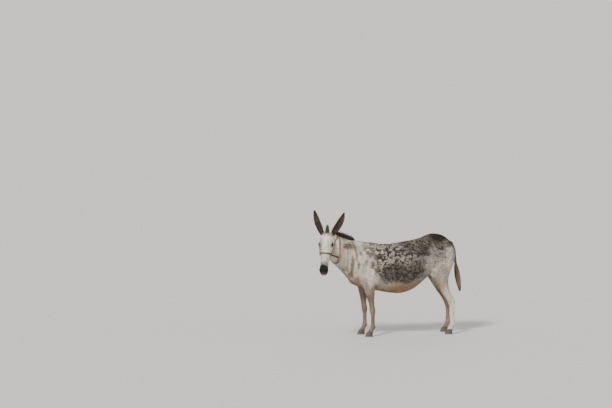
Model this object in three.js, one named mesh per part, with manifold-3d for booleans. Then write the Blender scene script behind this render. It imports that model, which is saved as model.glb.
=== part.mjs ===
// A small working donkey, standing, with its head turned to its left and a plain halter.
// Millimetres. The body runs along X with the head toward -X, its left side faces -Y, and +Z is up.
import * as THREE from 'three';
import { mergeVertices } from 'three/addons/utils/BufferGeometryUtils.js';
import Module from 'manifold-3d';

const wasm = await Module();
wasm.setup();

// Driving dimensions of the body
const withersHeight = 1142;
const backHeight = 1112;
const croupHeight = 1224;
const bellyClearance = 500;
const breastX = -492;
const withersX = -237;
const buttockX = 815;
const barrelHalfWidth = 232;
const hipHalfWidth = 194;
const foreTrack = 122;          // from the middle plane to the middle of a foreleg
const hindTrack = 118;
const foreCannonX = -208;
const hindCannonX = 791;
const rightForeReach = -38;     // the right forefoot stands this much ahead of the left
const rightHindReach = 4;

// Driving dimensions of the head, ears and tail
const poll = new THREE.Vector3(-806, -190, 1306);
const headTurn = 64;            // degrees from -X toward the left side
const headPitch = 65;           // degrees below the horizontal
const headLength = 530;
const earWidth = 84;
const earDepth = 0.72;          // how deep an ear is for its width
const earWall = 7;
const earHollow = 17;           // how far forward the hollow is set in the shell
const eyeRadius = 20;
const hoofHeight = 58;
const maneHeight = 50;
const tailLength = 600;

// Clearances and fineness
const jointGap = 0.4;           // thickness of the cuts between named parts
const fitGap = 0.4;             // space between touching parts
const strapThickness = 5;
const strapWidth = 20;
const nosebandDown = 268;       // from the poll down the face to the noseband
const ringRadius = 16;          // halter rings, to the middle of their wire
const ringWire = 3.5;
const bodySides = 14;
const headSides = 16;
const limbSides = 10;
const tuftSides = 8;

const vector = (x, y, z) => new THREE.Vector3(x, y, z);
const degrees = THREE.MathUtils.degToRad;

// Frame of the head: nose runs down the face, brow points out of the forehead, left is its own left
const facing = vector(-Math.cos(degrees(headTurn)), -Math.sin(degrees(headTurn)), 0);
const nose = facing.clone().multiplyScalar(Math.cos(degrees(headPitch)));
nose.z = -Math.sin(degrees(headPitch));
const brow = facing.clone().multiplyScalar(Math.sin(degrees(headPitch)));
brow.z = Math.cos(degrees(headPitch));
const left = vector(-facing.y, facing.x, 0);

function onHead(down, out, side) {
  return poll.clone()
    .addScaledVector(nose, down)
    .addScaledVector(brow, out)
    .addScaledVector(left, side);
}

// ---------- Lofts: closed forms through rings that stand between a top and a bottom line ----------

function station(top, bottom, half, power = 2, taper = 0) {
  return { top, bottom, shape: vector(half, power, taper) };
}

// One closed ring. Taper narrows the top of the section, power squares it.
function ringPoints(top, bottom, shape, across, sides) {
  const middle = top.clone().add(bottom).multiplyScalar(0.5);
  const upright = top.clone().sub(bottom).multiplyScalar(0.5);
  const points = [];
  for (let k = 0; k < sides; k += 1) {
    const angle = (2 * Math.PI * k) / sides;
    const rise = Math.sign(Math.cos(angle)) * Math.abs(Math.cos(angle)) ** (2 / shape.y);
    const width = Math.sign(Math.sin(angle)) * Math.abs(Math.sin(angle)) ** (2 / shape.y);
    points.push(middle.clone()
      .addScaledVector(upright, rise)
      .addScaledVector(across, shape.x * width * (1 - shape.z * rise)));
  }
  return points;
}

// Swells a section outward by the same amount all round
function grown(top, bottom, shape, grow) {
  const upright = top.clone().sub(bottom).normalize();
  return [
    top.clone().addScaledVector(upright, grow),
    bottom.clone().addScaledVector(upright, -grow),
    vector(shape.x + grow, shape.y, shape.z),
  ];
}

// Rings of a loft. Domes round off its first and last ends; a dome of 0 leaves that end flat.
function loftRings(stations, { sides, spans, domes, grow }) {
  const tops = new THREE.CatmullRomCurve3(stations.map((s) => s.top));
  const bottoms = new THREE.CatmullRomCurve3(stations.map((s) => s.bottom));
  const shapes = new THREE.CatmullRomCurve3(stations.map((s) => s.shape));
  const middle = (t) => tops.getPoint(t).add(bottoms.getPoint(t)).multiplyScalar(0.5);
  const steps = spans * (stations.length - 1);
  const nudge = 0.25 / steps;
  const rings = [];
  const ringAt = (t, shrink, push) => {
    const ahead = middle(Math.min(1, t + nudge)).sub(middle(Math.max(0, t - nudge))).normalize();
    const [top, bottom, shape] = grown(tops.getPoint(t), bottoms.getPoint(t), shapes.getPoint(t), grow);
    const across = ahead.clone().cross(top.clone().sub(bottom)).normalize();
    const centre = top.clone().add(bottom).multiplyScalar(0.5);
    rings.push(ringPoints(top, bottom, shape, across, sides)
      .map((point) => point.sub(centre).multiplyScalar(shrink).add(centre).addScaledVector(ahead, push)));
    return centre.addScaledVector(ahead, push);
  };
  const domeTurns = [60, 30].map(degrees);
  const [firstDome, lastDome] = domes.map((dome) => (dome > 0 ? dome + grow : 0));
  const firstTip = ringTip(0, -firstDome);
  if (firstDome > 0) {
    domeTurns.forEach((turn) => ringAt(0, Math.cos(turn), -firstDome * Math.sin(turn)));
  }
  for (let step = 0; step <= steps; step += 1) {
    ringAt(step / steps, 1, 0);
  }
  if (lastDome > 0) {
    [...domeTurns].reverse().forEach((turn) => ringAt(1, Math.cos(turn), lastDome * Math.sin(turn)));
  }
  const lastTip = ringTip(1, lastDome);
  return { rings, firstTip, lastTip };

  function ringTip(t, push) {
    const ahead = middle(Math.min(1, t + nudge)).sub(middle(Math.max(0, t - nudge))).normalize();
    return middle(t).addScaledVector(ahead, push);
  }
}

// A solid from rings and the two points that close its ends
function solidFromRings({ rings, firstTip, lastTip }) {
  const sides = rings[0].length;
  const points = [...rings.flat(), firstTip, lastTip];
  const faces = [];
  for (let row = 0; row < rings.length - 1; row += 1) {
    for (let k = 0; k < sides; k += 1) {
      const next = (k + 1) % sides;
      const [a, b] = [row * sides + k, row * sides + next];
      faces.push([a, a + sides, b + sides], [a, b + sides, b]);
    }
  }
  const lastRow = (rings.length - 1) * sides;
  for (let k = 0; k < sides; k += 1) {
    const next = (k + 1) % sides;
    faces.push([rings.length * sides, k, next]);
    faces.push([rings.length * sides + 1, lastRow + next, lastRow + k]);
  }
  const volume = faces.reduce((sum, [a, b, c]) => (
    sum + points[a].dot(points[b].clone().cross(points[c]))), 0);
  const outward = volume > 0 ? faces : faces.map(([a, b, c]) => [a, c, b]);
  return new wasm.Manifold(new wasm.Mesh({
    numProp: 3,
    vertProperties: new Float32Array(points.flatMap((p) => p.toArray())),
    triVerts: new Uint32Array(outward.flat()),
  }));
}

function loft(stations, options = {}) {
  const settings = { sides: limbSides, spans: 2, domes: [0, 0], grow: 0, ...options };
  return solidFromRings(loftRings(stations, settings));
}

// A manifold solid from one of three.js's own closed geometries
function solidFromGeometry(geometry) {
  const bare = geometry.clone();
  bare.deleteAttribute('normal');
  bare.deleteAttribute('uv');
  const merged = mergeVertices(bare, 1e-4);
  return new wasm.Manifold(new wasm.Mesh({
    numProp: 3,
    vertProperties: new Float32Array(merged.attributes.position.array),
    triVerts: new Uint32Array(merged.index.array),
  }));
}

function ball(centre, radius) {
  return solidFromGeometry(new THREE.SphereGeometry(radius, 10, 6).translate(...centre.toArray()));
}

// A flat plate across a direction, used to part the body and to cut straps out of a shell
function plate(centre, normal, width, height, thickness, along = vector(0, 0, 1)) {
  const z = normal.clone().normalize();
  const x = along.clone().cross(z).normalize();
  const y = z.clone().cross(x);
  const geometry = new THREE.BoxGeometry(width, height, thickness);
  geometry.applyMatrix4(new THREE.Matrix4().makeBasis(x, y, z).setPosition(centre));
  return solidFromGeometry(geometry);
}

const union = (solids) => solids.reduce((whole, solid) => whole.add(solid));

// ---------- Trunk and neck ----------

function trunkForm(grow = 0) {
  const upright = (x, top, bottom, half, power, taper) => (
    station(vector(x, 0, top), vector(x, 0, bottom), half, power, taper));
  return loft([
    upright(breastX + 40, 940, 640, 106, 2.1, 0.05),
    upright(breastX + 110, 1040, 602, 150, 2.2, 0.18),
    upright(breastX + 185, 1108, 580, 176, 2.2, 0.3),
    upright(withersX, withersHeight, 566, 192, 2.2, 0.32),
    upright(withersX + 125, withersHeight - 22, 540, 217, 2.2, 0.2),
    upright(25, backHeight, bellyClearance + 12, barrelHalfWidth, 2.2, 0.12),
    upright(167, backHeight + 20, bellyClearance + 4, barrelHalfWidth + 8, 2.2, 0.06),
    upright(300, 1150, 541, barrelHalfWidth - 4, 2.25, 0),
    upright(418, 1176, 628, hipHalfWidth + 12, 2.3, -0.02),
    upright(501, croupHeight - 14, 700, hipHalfWidth, 2.4, 0.02),
    upright(571, croupHeight, 735, hipHalfWidth - 4, 2.3, 0.12),
    upright(690, croupHeight - 24, 770, hipHalfWidth - 22, 2.2, 0.2),
    upright(buttockX - 60, croupHeight - 70, 840, hipHalfWidth - 62, 2.1, 0.2),
    upright(buttockX - 14, croupHeight - 116, 940, hipHalfWidth - 112, 2, 0.1),
  ], { sides: bodySides, spans: 2, domes: [44, 22], grow });
}

// The crest rises from the withers to the poll and the whole neck bends to the left
function neckForm(grow = 0) {
  return loft([
    station(vector(-190, 0, 1118), vector(-400, 0, 640), 138, 2, 0.35),
    station(vector(-306, 0, 1156), vector(-505, 0, 705), 128, 2, 0.35),
    station(vector(-392, -10, 1166), vector(-552, -4, 765), 108, 2, 0.3),
    station(vector(-476, -28, 1184), vector(-598, -18, 812), 95, 2, 0.25),
    station(vector(-560, -55, 1212), vector(-647, -36, 856), 86, 2, 0.2),
    station(vector(-640, -85, 1242), vector(-694, -50, 903), 80, 2.1, 0.15),
    station(vector(-712, -112, 1266), vector(-730, -66, 955), 74, 2.1, 0.1),
    station(vector(-762, -136, 1272), vector(-752, -84, 1030), 62, 2.1, 0.05),
  ], { sides: bodySides, spans: 2, domes: [0, 20], grow });
}

// ---------- Head ----------

function headForm(grow = 0) {
  const across = (down, front, back, half, power, taper) => (
    station(onHead(down, front, 0), onHead(down, back, 0), half, power, taper));
  return loft([
    across(6, -36, -146, 60, 2.1, 0.1),
    across(45, -5, -188, 80, 2.2, 0.06),
    across(95, 7, -216, 90, 2.4, 0.06),
    across(148, 12, -230, 91, 2.4, 0.06),
    across(200, 8, -230, 82, 2.4, 0.02),
    across(255, 2, -200, 66, 2.4, -0.04),
    across(312, -2, -162, 54, 2.4, 0),
    across(372, -3, -133, 47, 2.3, 0.06),
    across(425, 0, -120, 49, 2.3, 0.04),
    across(470, -4, -120, 53, 2.3, 0.02),
    across(headLength - 24, -20, -114, 46, 2.2, 0),
  ], { sides: headSides, spans: 2, domes: [22, 24], grow });
}

const eyePlace = (side) => onHead(151, -41, side * 72);

// An egg-shaped solid lying along a direction, flattened toward another
function egg(centre, along, outward, length, width, depth) {
  const across = outward.clone().cross(along).normalize();
  const geometry = new THREE.SphereGeometry(1, 10, 7).scale(width, depth, length);
  const basis = new THREE.Matrix4().makeBasis(across, outward, along);
  geometry.applyMatrix4(basis.setPosition(centre));
  return solidFromGeometry(geometry);
}

// Directions at an eye: out of the socket, and along the slanting lids
function eyeAxes(side) {
  const outward = left.clone().multiplyScalar(side).addScaledVector(brow, 0.42).normalize();
  const along = nose.clone().addScaledVector(brow, 0.42);
  along.addScaledVector(outward, -along.dot(outward)).normalize();
  return { outward, along };
}

// The rounded lids and bony rim round an eye
function eyeRim(side, grow = 0) {
  const { outward, along } = eyeAxes(side);
  const centre = eyePlace(side).addScaledVector(outward, -8).addScaledVector(brow, 3);
  return egg(centre, along, outward, 38 + grow, 28 + grow, 27 + grow);
}

// The opening between the lids
function lidOpening(side) {
  const { outward, along } = eyeAxes(side);
  return egg(eyePlace(side).addScaledVector(outward, 16), along, outward, 17, 10, 15);
}

// A slanting pit at each side of the muzzle
function nostril(side) {
  const slant = nose.clone().addScaledVector(brow, -0.45).addScaledVector(left, -0.35 * side).normalize();
  const outward = left.clone().multiplyScalar(side).addScaledVector(brow, 0.6);
  outward.addScaledVector(slant, -outward.dot(slant)).normalize();
  return egg(onHead(474, -24, side * 47), slant, outward, 17, 9, 10);
}

// The slit between the lips, open at the front and both sides
function mouthSlit() {
  const slope = brow.clone().addScaledVector(nose, 0.2);
  return plate(onHead(headLength - 24, -84, 0), slope, 130, 88, 1.5, left);
}

// ---------- Legs ----------

// A level section of a leg from its front edge to its back edge
function legSection(front, back, y, height, half, power = 2, taper = 0) {
  return station(vector(front, y, height), vector(back, y, height), half, power, taper);
}

function foreleg(side, reach, grow = 0) {
  const y = side * foreTrack;
  const x = foreCannonX;
  const at = (front, back, height, half, lead, inset = 0, power = 2.1) => (
    legSection(x + front + reach * lead, x + back + reach * lead, y - side * inset, height, half, power));
  return loft([
    at(-210, 70, 860, 62, 0, 20),
    at(-196, 52, 770, 74, 0.1, 8),
    at(-168, 42, 680, 74, 0.2, 4),
    at(-122, 30, 600, 66, 0.4, 2),
    at(-92, 20, 520, 52, 0.6),
    at(-66, 16, 440, 42, 0.8),
    at(-48, 20, 378, 36, 1),
    at(-43, 29, 340, 38, 1, 0, 2.4),
    at(-38, 31, 304, 36, 1, 0, 2.4),
    at(-28, 25, 262, 26, 1),
    at(-26, 24, 200, 23, 1),
    at(-28, 27, 148, 25, 1),
    at(-34, 34, 112, 31, 1),
    at(-52, 8, 78, 27, 1),
    at(-74, 2, hoofHeight, 33, 1),
    at(-78, -4, hoofHeight - 30, 33, 1),
  ], { spans: 1, domes: [40, 0], grow });
}

function hindLeg(side, reach, grow = 0) {
  const y = side * hindTrack;
  const x = hindCannonX;
  const at = (front, back, height, half, lead, inset = 0, power = 2.1) => (
    legSection(x + front + reach * lead, x + back + reach * lead, y - side * inset, height, half, power));
  return loft([
    at(-190, -20, 1120, 44, 0, 40),
    at(-226, 26, 1030, 66, 0, 30),
    at(-262, 32, 935, 80, 0, 20),
    at(-286, 10, 848, 84, 0, 12),
    at(-290, -24, 770, 81, 0.1, 8),
    at(-270, -50, 698, 73, 0.2, 6),
    at(-222, -54, 624, 62, 0.4, 4),
    at(-180, -46, 563, 50, 0.6, 2),
    at(-141, -20, 502, 40, 0.8),
    at(-106, 10, 454, 34, 1),
    at(-74, 29, 410, 35, 1, 0, 2.3),
    at(-52, 25, 362, 33, 1, 0, 2.3),
    at(-31, 24, 300, 26, 1),
    at(-27, 24, 220, 23, 1),
    at(-30, 28, 150, 25, 1),
    at(-38, 34, 114, 31, 1),
    at(-56, 10, 80, 27, 1),
    at(-78, -2, hoofHeight, 32, 1),
    at(-82, -8, hoofHeight - 30, 32, 1),
  ], { spans: 1, domes: [40, 0], grow });
}

// A hoof is a blunt sloping block: a round toe, a straighter heel and a flat level sole
function hoof(leg, grow = 0) {
  const x = leg.x + leg.reach + (leg.place === 'fore' ? -37 : -41);
  const y = leg.side * leg.track;
  const toe = 38;
  return loft([
    legSection(x - toe - 24, x + toe - 4, y, 0, 38, 2.5),
    legSection(x - toe - 11, x + toe - 2, y, hoofHeight / 2, 36, 2.4),
    legSection(x - toe + 1, x + toe + 1, y, hoofHeight, 34, 2.3),
  ], { spans: 1, grow, sides: 14 });
}

// ---------- Ears, mane, forelock and tail ----------

// The middle line of an ear, from inside the skull to the tip. The right ear is pricked a little more.
function earLine(side) {
  const prick = side > 0 ? -10 : 10;
  const at = (down, out, across, share) => (
    onHead(down - prick * share * 0.8, out + prick * share, side * across));
  return new THREE.CatmullRomCurve3([
    at(24, -80, 54, 0), at(-26, -76, 84, 0), at(-88, -73, 120, 0.2),
    at(-150, -70, 148, 0.5), at(-205, -67, 166, 0.8), at(-258, -64, 179, 1),
  ]);
}

// Directions at a place on an ear: along it, out of its open face, and across it
function earAxes(side, share) {
  const along = earLine(side).getTangent(share);
  const open = facing.clone().addScaledVector(left, side * 0.25);
  open.addScaledVector(along, -open.dot(along)).normalize();
  return { along, open, across: along.clone().cross(open) };
}

// Half width of the ear along its length: narrow root, broad middle, blunt tip
const earHalfWidth = (share) => (earWidth / 2) * Math.sin(Math.PI * (0.16 + 0.76 * share)) ** 0.8;

function earForm(side, inset, forward, depth) {
  const rows = 6;
  const stations = [];
  for (let row = 0; row <= rows; row += 1) {
    const share = (row / rows) * (1 - inset * 0.004);
    const half = earHalfWidth(share) - inset;
    const { open, across } = earAxes(side, share);
    const centre = earLine(side).getPoint(share)
      .addScaledVector(open, forward - 12 * Math.sin(Math.PI * share));
    stations.push(station(
      centre.clone().addScaledVector(across, half),
      centre.clone().addScaledVector(across, -half),
      half * depth));
  }
  return loft(stations, { spans: 1, domes: [6, 12] });
}

// A tall cupped shell, closed at the root and open along its front face
function ear(side) {
  const { along } = earAxes(side, 0.1);
  const solidRoot = plate(earLine(side).getPoint(0), along, 160, 160, 100);
  const hollow = earForm(side, earWall, earHollow, 0.86).subtract(solidRoot);
  return earForm(side, 0, 0, earDepth).subtract(hollow);
}

// The crest of the neck, from behind the ears toward the withers
const crestLine = new THREE.CatmullRomCurve3([
  vector(-742, -124, 1270),
  vector(-712, -112, 1266),
  vector(-640, -85, 1242),
  vector(-560, -55, 1212),
  vector(-476, -28, 1184),
  vector(-425, -16, 1172),
]);

// A low upright brush of hair along the crest
function mane() {
  const rows = 10;
  const stations = [];
  for (let row = 0; row <= rows; row += 1) {
    const share = row / rows;
    const foot = crestLine.getPoint(share);
    const rise = maneHeight * (0.55 + 0.45 * Math.sin(Math.PI * (0.15 + share * 0.7)));
    const top = foot.clone().add(vector(0, 0, rise));
    const bottom = foot.clone().add(vector(0, 0, -26));
    stations.push(station(top, bottom, 15, 2.4, 0.45));
  }
  return loft(stations, { sides: tuftSides, spans: 1, domes: [6, 14] });
}

// A short upright tuft between the ears
function forelock() {
  const across = (down, out, half, thick) => (
    station(onHead(down, out, half), onHead(down, out, -half), thick));
  return loft([across(24, -42, 28, 18), across(-24, -40, 22, 15), across(-82, -34, 9, 7)],
    { sides: tuftSides, spans: 1, domes: [4, 8] });
}

// The tail leaves the croup, hangs close behind the buttocks and ends in a loose switch of hair
function tailPoint(share) {
  const settle = 26 * Math.min(1, share * 9);
  return vector(buttockX - 8 + settle + 84 * share ** 1.3, 0, 1092 - share * tailLength);
}

function tailStretch(from, to, rows, halfAt) {
  const stations = [];
  for (let row = 0; row <= rows; row += 1) {
    const centre = tailPoint(from + ((to - from) * row) / rows);
    const half = halfAt(row / rows);
    stations.push(legSection(centre.x - half, centre.x + half, 0, centre.z, half * 0.95));
  }
  return stations;
}

function tailDock() {
  const root = legSection(buttockX - 70, buttockX - 2, 0, 1118, 30);
  return loft([root, ...tailStretch(0.05, 0.58, 6, (share) => 22 - 9 * share)],
    { sides: tuftSides, spans: 1, domes: [12, 8] });
}

function tailSwitch() {
  const halfAt = (share) => 14 + 16 * Math.sin(Math.PI * (0.02 + 0.9 * share ** 0.8)) - 8 * share ** 3;
  return loft(tailStretch(0.42, 0.985, 7, halfAt), { sides: tuftSides, spans: 1, domes: [6, 9] });
}

// ---------- The body as one form, and the cuts that part it ----------

const foreEnd = { place: 'fore', form: foreleg, track: foreTrack, x: foreCannonX };
const hindEnd = { place: 'hind', form: hindLeg, track: hindTrack, x: hindCannonX };
const legs = [
  { ...foreEnd, name: 'left', side: -1, reach: 0 },
  { ...foreEnd, name: 'right', side: 1, reach: rightForeReach },
  { ...hindEnd, name: 'left', side: -1, reach: 0 },
  { ...hindEnd, name: 'right', side: 1, reach: rightHindReach },
];

const headFlesh = (grow) => union([headForm(grow), eyeRim(1, grow), eyeRim(-1, grow)]);
const upperFlesh = (grow) => headFlesh(grow).add(neckForm(grow));
const hindFlesh = (grow) => union([trunkForm(grow), hindLeg(-1, 0, grow), hindLeg(1, rightHindReach, grow)]);

// Heights and places of the cuts across each leg: top of the free leg, knee or hock, pastern
const legCuts = {
  fore: {
    names: ['forearm', 'fore_cannon', 'fore_pastern'],
    heights: [532, 318, 104],
    shift: [-46, -6, -4],
    size: [220, 130, 130],
  },
  hind: {
    names: ['gaskin', 'hind_cannon', 'hind_pastern'],
    heights: [668, 396, 106],
    shift: [-150, -20, -8],
    size: [300, 160, 130],
  },
};

function legPlates(leg) {
  const cuts = legCuts[leg.place];
  return cuts.heights.map((height, index) => plate(
    vector(leg.x + cuts.shift[index] + leg.reach, leg.side * leg.track, height),
    vector(0, 0, 1), 190, cuts.size[index], jointGap, vector(1, 0, 0)));
}

const headCut = { centre: vector(-672, -68, 1090), normal: vector(-0.66, -0.75, 0.1) };
const neckCut = { centre: vector(-425, 0, 940), normal: vector(-0.841, 0, 0.541) };

function partedBody() {
  const eyes = union([1, -1].map((side) => ball(eyePlace(side), eyeRadius + fitGap).add(lidOpening(side))));
  const hooves = union(legs.map((leg) => hoof(leg, fitGap)));
  const plates = [
    plate(headCut.centre, headCut.normal, 520, 520, jointGap),
    plate(neckCut.centre, neckCut.normal, 520, 640, jointGap),
    ...legs.flatMap(legPlates),
  ];
  return union([trunkForm(), upperFlesh(0), ...legs.map((leg) => leg.form(leg.side, leg.reach))])
    .subtract(eyes)
    .subtract(hooves)
    .subtract(union([nostril(1), nostril(-1), mouthSlit()]))
    .subtract(union(plates))
    .decompose();
}

const bySize = (solids) => solids.sort((a, b) => b.volume() - a.volume());
const largest = (solid) => bySize(solid.decompose())[0];

const middleOf = (solid) => {
  const { min, max } = solid.boundingBox();
  return vector((min[0] + max[0]) / 2, (min[1] + max[1]) / 2, (min[2] + max[2]) / 2);
};

const ahead = (point, cut) => point.clone().sub(cut.centre).dot(cut.normal) > 0;

// Names a piece of the parted body by where it lies
function fleshName(solid) {
  const middle = middleOf(solid);
  if (middle.z > legCuts.hind.heights[0]) {
    if (ahead(middle, headCut)) {
      return 'head';
    }
    return ahead(middle, neckCut) ? 'neck' : 'trunk';
  }
  const place = middle.x < 200 ? 'fore' : 'hind';
  const { names, heights } = legCuts[place];
  const level = heights.filter((height) => height > middle.z).length - 1;
  return `${names[level]}_${middle.y < 0 ? 'left' : 'right'}`;
}

// ---------- Halter ----------

// The part of a thin layer over the head and neck that lies inside a slab
function strapOver(form, slab) {
  return form(strapThickness).subtract(upperFlesh(fitGap)).intersect(slab);
}

const clearOfStrap = strapWidth + 2 * fitGap;
const ringPlace = (side) => onHead(nosebandDown, -84, side * 65);

function ringTurn(side) {
  const outward = left.clone().multiplyScalar(side).addScaledVector(nose, 0.2).normalize();
  const upward = nose.clone().addScaledVector(outward, -nose.dot(outward)).normalize();
  return new THREE.Matrix4().makeBasis(upward, outward.clone().cross(upward), outward);
}

function ring(side, grow = 0) {
  const geometry = new THREE.TorusGeometry(ringRadius, ringWire + grow, 5, 10);
  geometry.applyMatrix4(ringTurn(side).setPosition(ringPlace(side)));
  return solidFromGeometry(geometry);
}

const bothRings = () => ring(1, fitGap).add(ring(-1, fitGap));

// The band round the nose, parted by the rings into a nose piece and a chin strap
const noseSlope = nose.clone().addScaledVector(brow, -0.12);
const noseSlab = (thickness) => plate(onHead(nosebandDown, -80, 0), noseSlope, 260, 260, thickness, brow);

function noseband() {
  const band = strapOver(headForm, noseSlab(strapWidth)).subtract(bothRings());
  const pieces = bySize(band.decompose()).slice(0, 2);
  return pieces.sort((a, b) => middleOf(b).dot(brow) - middleOf(a).dot(brow));
}

// The loop behind the ears and round the throat, and the level that parts crown from throat strap
const stallNormal = vector(-0.85, -0.5, 0.03).normalize();
const stallCentre = vector(-658, -78, 1110);
const stallSplit = 1120;
const neckLeft = vector(0.5, -0.86, 0);
const stallSlab = (thickness) => plate(stallCentre, stallNormal, 620, 420, thickness, left);

function headstall() {
  const level = plate(stallCentre.clone().setZ(stallSplit), vector(0, 0, 1), 500, 500, jointGap, left);
  const pieces = strapOver(upperFlesh, stallSlab(strapWidth)).subtract(level).decompose();
  return pieces.sort((a, b) => middleOf(b).z - middleOf(a).z);
}

// A strap down the cheek from the headstall to the noseband ring
function cheekStrap(side) {
  const upper = stallCentre.clone().add(vector(-20, -10, 120)).addScaledVector(neckLeft, side * 75);
  const run = ringPlace(side).sub(upper);
  const across = run.clone().normalize().cross(left).normalize();
  const centre = upper.clone().addScaledVector(run, 0.5).addScaledVector(left, side * 40);
  const slab = plate(centre, across, run.length() + 20, 200, strapWidth - 4, left);
  const others = union([stallSlab(clearOfStrap), noseSlab(clearOfStrap), bothRings()]);
  const strap = strapOver(upperFlesh, slab).subtract(others);
  return largest(strap.subtract(earForm(side, -fitGap, 0, earDepth)));
}

// ---------- The model ----------

const finishes = {
  paleCoat: { color: 0xb9ada0, roughness: 0.9, metalness: 0 },
  greyCoat: { color: 0x8d8279, roughness: 0.9, metalness: 0 },
  legCoat: { color: 0x9c8f80, roughness: 0.9, metalness: 0 },
  darkHair: { color: 0x2b211b, roughness: 0.85, metalness: 0 },
  earCoat: { color: 0x5b4638, roughness: 0.9, metalness: 0 },
  horn: { color: 0x3a332e, roughness: 0.6, metalness: 0 },
  eye: { color: 0x120d0a, roughness: 0.1, metalness: 0 },
  strap: { color: 0x6e4a2c, roughness: 0.7, metalness: 0 },
  steel: { color: 0x7a746c, roughness: 0.45, metalness: 1 },
};

const donkey = new THREE.Group();

function addPart(name, solid, finish) {
  const mesh = solid.getMesh();
  const geometry = new THREE.BufferGeometry();
  geometry.setAttribute('position', new THREE.BufferAttribute(new Float32Array(mesh.vertProperties), 3));
  geometry.setIndex(new THREE.BufferAttribute(new Uint32Array(mesh.triVerts), 1));
  const part = new THREE.Mesh(geometry, new THREE.MeshStandardMaterial(finishes[finish]));
  part.name = name;
  donkey.add(part);
}

for (const solid of partedBody()) {
  const name = fleshName(solid);
  addPart(name, solid, { trunk: 'greyCoat', neck: 'paleCoat', head: 'paleCoat' }[name] ?? 'legCoat');
}
for (const leg of legs) {
  addPart(`${leg.place}_hoof_${leg.name}`, hoof(leg), 'horn');
}
for (const [name, side] of [['left', 1], ['right', -1]]) {
  const shell = ear(side).subtract(upperFlesh(fitGap));
  addPart(`ear_${name}`, largest(shell), 'earCoat');
  addPart(`eye_${name}`, ball(eyePlace(side), eyeRadius), 'eye');
  addPart(`halter_cheek_${name}`, cheekStrap(side), 'strap');
  addPart(`halter_ring_${name}`, ring(side).subtract(upperFlesh(fitGap)), 'steel');
}

const clearOfNeck = upperFlesh(fitGap).add(stallSlab(clearOfStrap));
addPart('mane', largest(mane().subtract(clearOfNeck)), 'darkHair');
addPart('forelock', largest(forelock().subtract(clearOfNeck)), 'darkHair');

const [nosePiece, chinStrap] = noseband();
addPart('halter_noseband', nosePiece, 'strap');
addPart('halter_chin_strap', chinStrap, 'strap');
const [crown, throatStrap] = headstall();
addPart('halter_crown', crown, 'strap');
addPart('halter_throat_strap', throatStrap, 'strap');

addPart('tail_dock', largest(tailDock().subtract(hindFlesh(fitGap))), 'greyCoat');
addPart('tail_switch', largest(tailSwitch().subtract(tailDock())), 'darkHair');

// The origin lies on the floor under the middle of the whole
const bounds = new THREE.Box3().setFromObject(donkey);
const middle = bounds.getCenter(vector(0, 0, 0));
donkey.position.set(-middle.x, -middle.y, 0);

export default donkey;
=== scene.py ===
import math

import bpy
import numpy as np
from mathutils import Matrix, Vector
from mathutils.bvhtree import BVHTree


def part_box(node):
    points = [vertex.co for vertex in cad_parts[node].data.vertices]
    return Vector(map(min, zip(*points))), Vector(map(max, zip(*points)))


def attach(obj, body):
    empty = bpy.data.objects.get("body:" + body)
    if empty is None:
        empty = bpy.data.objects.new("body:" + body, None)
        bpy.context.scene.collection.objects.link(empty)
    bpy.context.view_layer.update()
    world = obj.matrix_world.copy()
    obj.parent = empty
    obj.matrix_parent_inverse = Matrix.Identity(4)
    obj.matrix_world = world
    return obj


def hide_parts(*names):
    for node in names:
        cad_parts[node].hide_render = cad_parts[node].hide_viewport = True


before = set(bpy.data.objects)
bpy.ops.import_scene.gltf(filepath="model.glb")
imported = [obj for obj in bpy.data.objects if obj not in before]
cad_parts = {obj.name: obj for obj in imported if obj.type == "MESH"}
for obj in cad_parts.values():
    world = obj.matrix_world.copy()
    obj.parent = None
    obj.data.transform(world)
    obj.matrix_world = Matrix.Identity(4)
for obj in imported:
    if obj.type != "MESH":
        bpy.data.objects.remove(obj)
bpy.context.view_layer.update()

print("frame loaded:", len(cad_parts), "nodes")

# Small helpers


def deselectAll():
    for item in bpy.context.selected_objects:
        item.select_set(False)


def pick(item):
    deselectAll()
    item.select_set(True)
    bpy.context.view_layer.objects.active = item


# Adds a primitive, a lamp or a camera, with nothing else selected
def addItem(operator, **settings):
    deselectAll()
    operator(**settings)
    return bpy.context.view_layer.objects.active


# One operator in edit mode, on all of the piece at hand
def editAll(operator, **settings):
    bpy.ops.object.mode_set(mode="EDIT")
    bpy.ops.mesh.select_all(action="SELECT")
    operator(**settings)
    bpy.ops.object.mode_set(mode="OBJECT")


def applyPlace():
    bpy.ops.object.transform_apply(location=True, rotation=True, scale=True)


def joinPieces(pieces):
    deselectAll()
    for item in pieces:
        item.select_set(True)
    bpy.context.view_layer.objects.active = pieces[0]
    if len(pieces) > 1:
        bpy.ops.object.join()
    return bpy.context.view_layer.objects.active


def unit(values):
    values = np.asarray(values, float)
    return values / np.maximum(np.linalg.norm(values, axis=-1, keepdims=True), 1e-9)


def ramp(values, low, high):
    share = np.clip((values - low) / (high - low), 0, 1)
    return share * share * (3 - 2 * share)


def blend(first, second, share):
    return np.asarray(first) * (1 - share) + np.asarray(second) * share


def hump(distance, radius):
    return np.exp(-((distance / radius) ** 2))


def placesOf(item):
    places = np.empty(len(item.data.vertices) * 3)
    item.data.vertices.foreach_get("co", places)
    return places.reshape(-1, 3)


def normalsOf(item):
    normals = np.empty(len(item.data.vertices) * 3)
    item.data.vertex_normals.foreach_get("vector", normals)
    return normals.reshape(-1, 3)


def movePlaces(item, places):
    item.data.vertices.foreach_set("co", np.asarray(places, np.float32).ravel())
    item.data.update()


def applyModifier(item, kind, **settings):
    pick(item)
    modifier = item.modifiers.new(kind.lower(), kind)
    for key, value in settings.items():
        setattr(modifier, key, value)
    bpy.ops.object.modifier_apply(modifier=modifier.name)


def newObject(name, mesh):
    item = bpy.data.objects.new(name, mesh)
    bpy.context.scene.collection.objects.link(item)
    return item


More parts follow.
